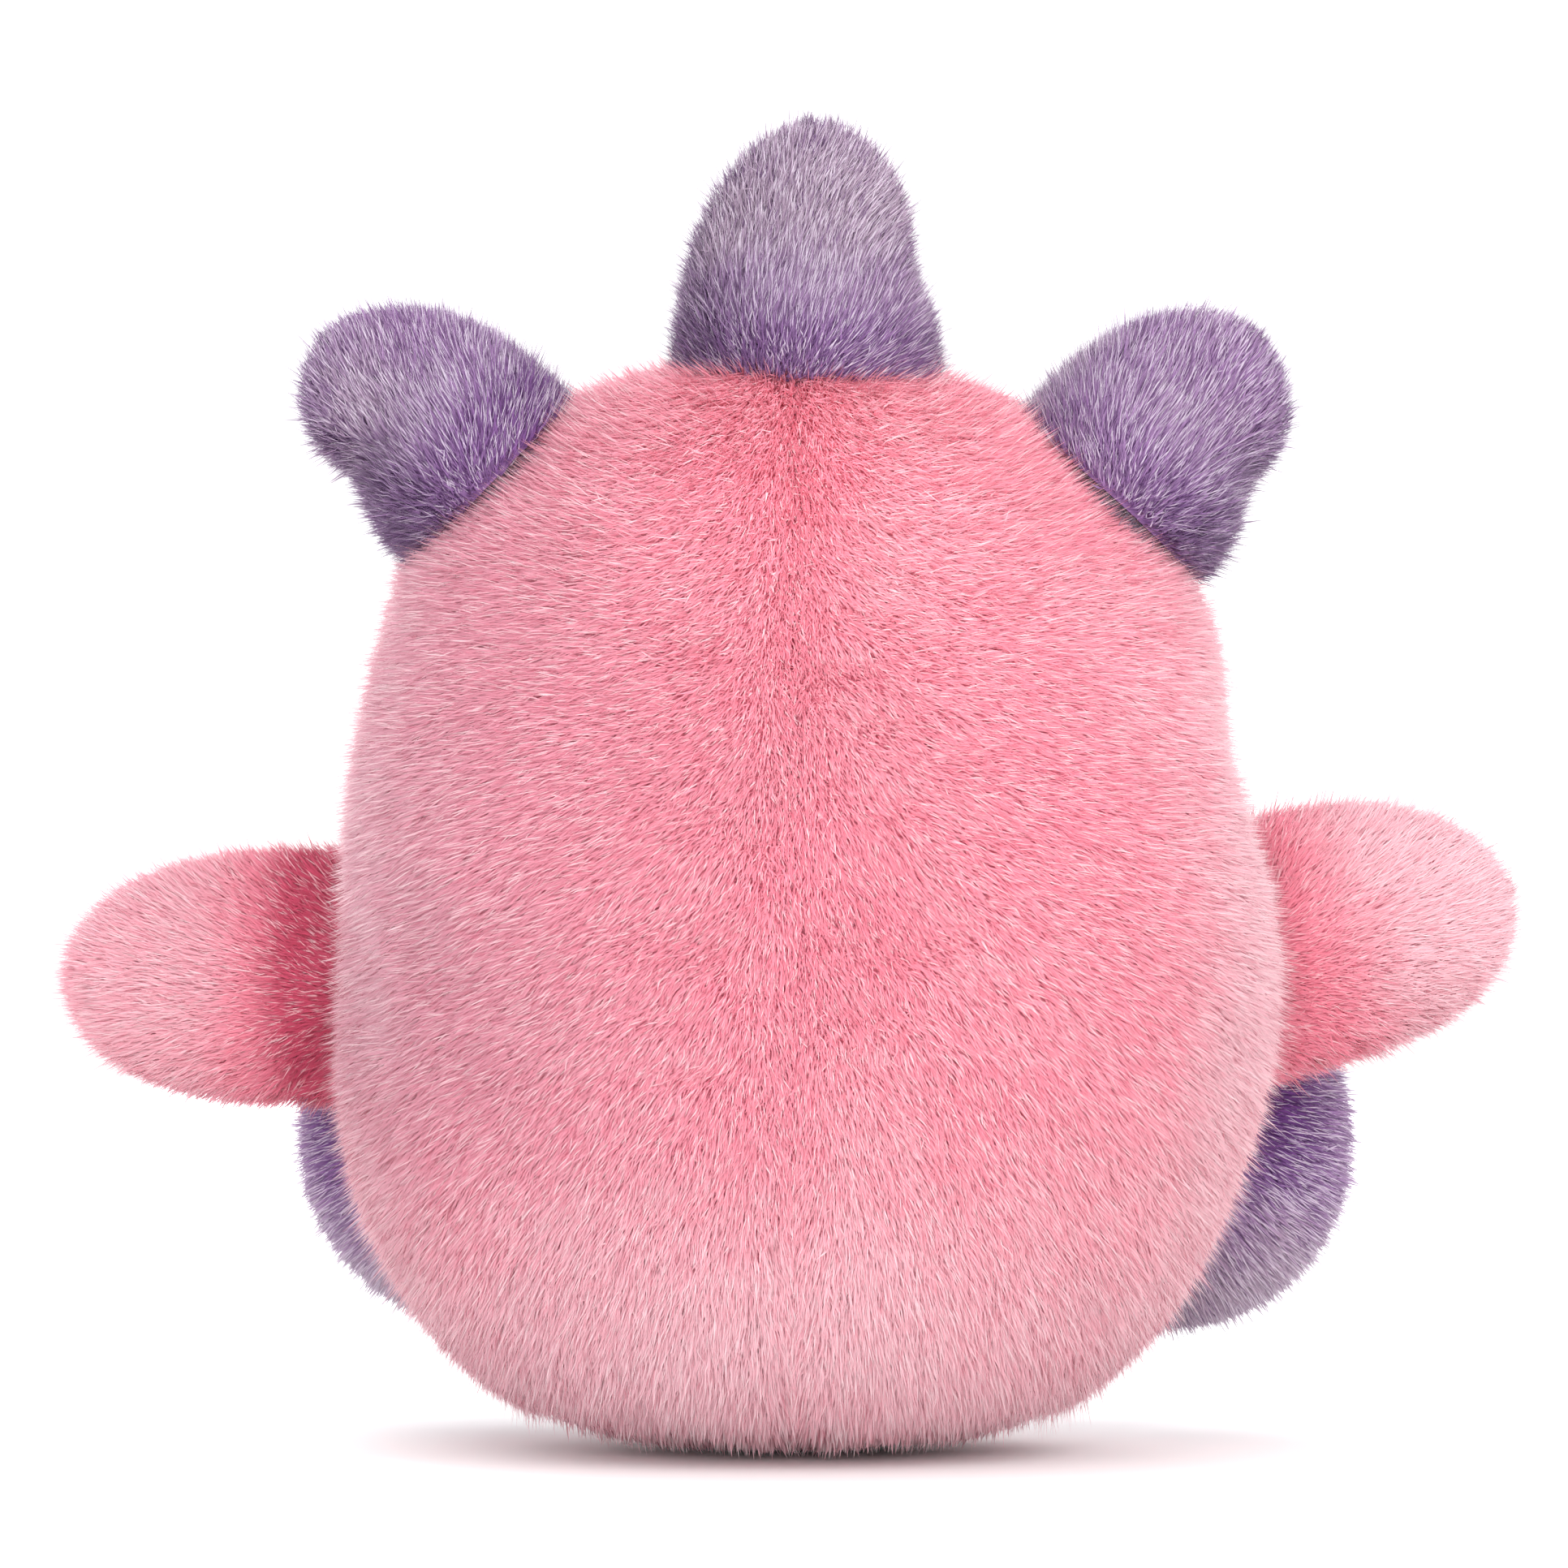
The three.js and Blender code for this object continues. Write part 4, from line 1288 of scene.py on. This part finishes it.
def pelletMaterial():
    # packed round pellets, each a slightly different white, with painted shade in the gaps between them
    material, tree, shader = newMaterial("packedPellets", {"Roughness": 0.35})
    place = Wire.add(tree, "ShaderNodeTexCoord", output="Object")
    cells = {"Vector": place, "Scale": 420.0, "Randomness": 0.8}
    gap = Wire.add(tree, "ShaderNodeTexVoronoi", {}, cells, "Distance")
    tint = Wire.add(tree, "ShaderNodeTexVoronoi", {}, cells, "Color")
    colour = mixColour(tree, 0.12, (0.80, 0.80, 0.78), tint)
    # painted shade in the gaps between pellets
    colour = mixColour(tree, gap.between(0.35, 0.75), colour, (0.22, 0.22, 0.22))
    height = 1 - gap
    bump = Wire.add(tree, "ShaderNodeBump", {}, {"Strength": 0.9, "Distance": 0.0012, "Height": height})
    feed(tree, colour, shader, "Base Color")
    feed(tree, bump, shader, "Normal")
    return material


def dressInside():
    woven, pellets = wovenMaterial(), pelletMaterial()
    washer = plasticMaterial("washerPlastic", (0.55, 0.55, 0.53), 0.35, 0.0)
    for node, holder in frame["nodes"].items():
        chosen = None
        if node.endswith("stuffing"):
            chosen = looseFibre
        elif node.startswith("pellet_pouch"):
            chosen = woven
        elif node == "pellet_fill":
            chosen = pellets
        elif "washer" in node:
            chosen = washer
        if chosen:
            for slot in holder.material_slots:
                slot.material = chosen


dressInside()

# studio

studio = {
    "aim": (0.84 * mm, 0.0, 63.1 * mm),
    "distance": 0.85,
    "frameWidth": 148.4 * mm,
    "world": 1.3,
    "lights": {           # place, target, size, power and colour
        "key": ((-0.55, 0.45, 0.55), "toy", 0.5, 1.5, (1.0, 0.985, 0.97)),
        "front": ((-0.25, 0.95, 0.25), "toy", 0.7, 1.05, (1, 1, 1)),
        "side": ((0.7, 0.4, 0.12), "toy", 0.5, 0.5, (0.93, 0.96, 1.0)),
        "low": ((0.0, 0.75, 0.02), "seat", 0.5, 5.2, (1, 1, 1)),
        "top": ((0.0, -0.15, 0.8), "toy", 0.6, 0.8, (1, 1, 1)),
        "far": ((0.3, -0.9, 0.4), "toy", 0.7, 7.0, (1, 1, 1)),
    },
}


def areaLight(name, place, target, size, power, colour):
    light = bpy.data.lights.new(name, "AREA")
    light.shape = "RECTANGLE"
    light.size = light.size_y = size
    light.energy = power
    light.color = colour
    holder = bpy.data.objects.new(name, light)
    holder.location = place
    holder.rotation_euler = (Vector(target) - Vector(place)).to_track_quat("-Z", "Y").to_euler()
    scene.collection.objects.link(holder)


def setStudio():
    aim = studio["aim"]
    camera = bpy.data.cameras.new("camera")
    camera.sensor_width = 36
    camera.lens = 36 * studio["distance"] / studio["frameWidth"]
    camera.clip_start = 0.01
    holder = bpy.data.objects.new("camera", camera)
    holder.location = (aim[0], studio["distance"], aim[2])
    holder.rotation_euler = (np.pi / 2, 0, np.pi)
    scene.collection.objects.link(holder)
    scene.camera = holder
    targets = {"toy": aim, "seat": (0, 0, 0.02)}
    for name, (place, target, size, power, colour) in studio["lights"].items():
        areaLight(name, place, targets[target], size, power, colour)
    world = bpy.data.worlds.new("studio")
    world.use_nodes = True
    background = world.node_tree.nodes["Background"]
    background.inputs["Color"].default_value = (1, 1, 1, 1)
    background.inputs["Strength"].default_value = studio["world"]
    scene.world = world
    scene.view_settings.view_transform = "Standard"
    material, tree, shader = newMaterial("paleFloor", {"Roughness": 0.9})
    place = Wire.add(tree, "ShaderNodeTexCoord", output="Object")
    cloudy = noiseOf(tree, place, 1.5, 2.0)
    feed(tree, mixColour(tree, cloudy, (0.925, 0.925, 0.925), (0.935, 0.935, 0.935)), shader, "Base Color")
    side = 3.0
    points = np.array([[-side, -side, 0], [side, -side, 0], [side, side, 0], [-side, side, 0]])
    floor = newPiece("floor", points, np.array([[0, 1, 2, 3]]), material, smooth=False)


setStudio()
print("studio set")
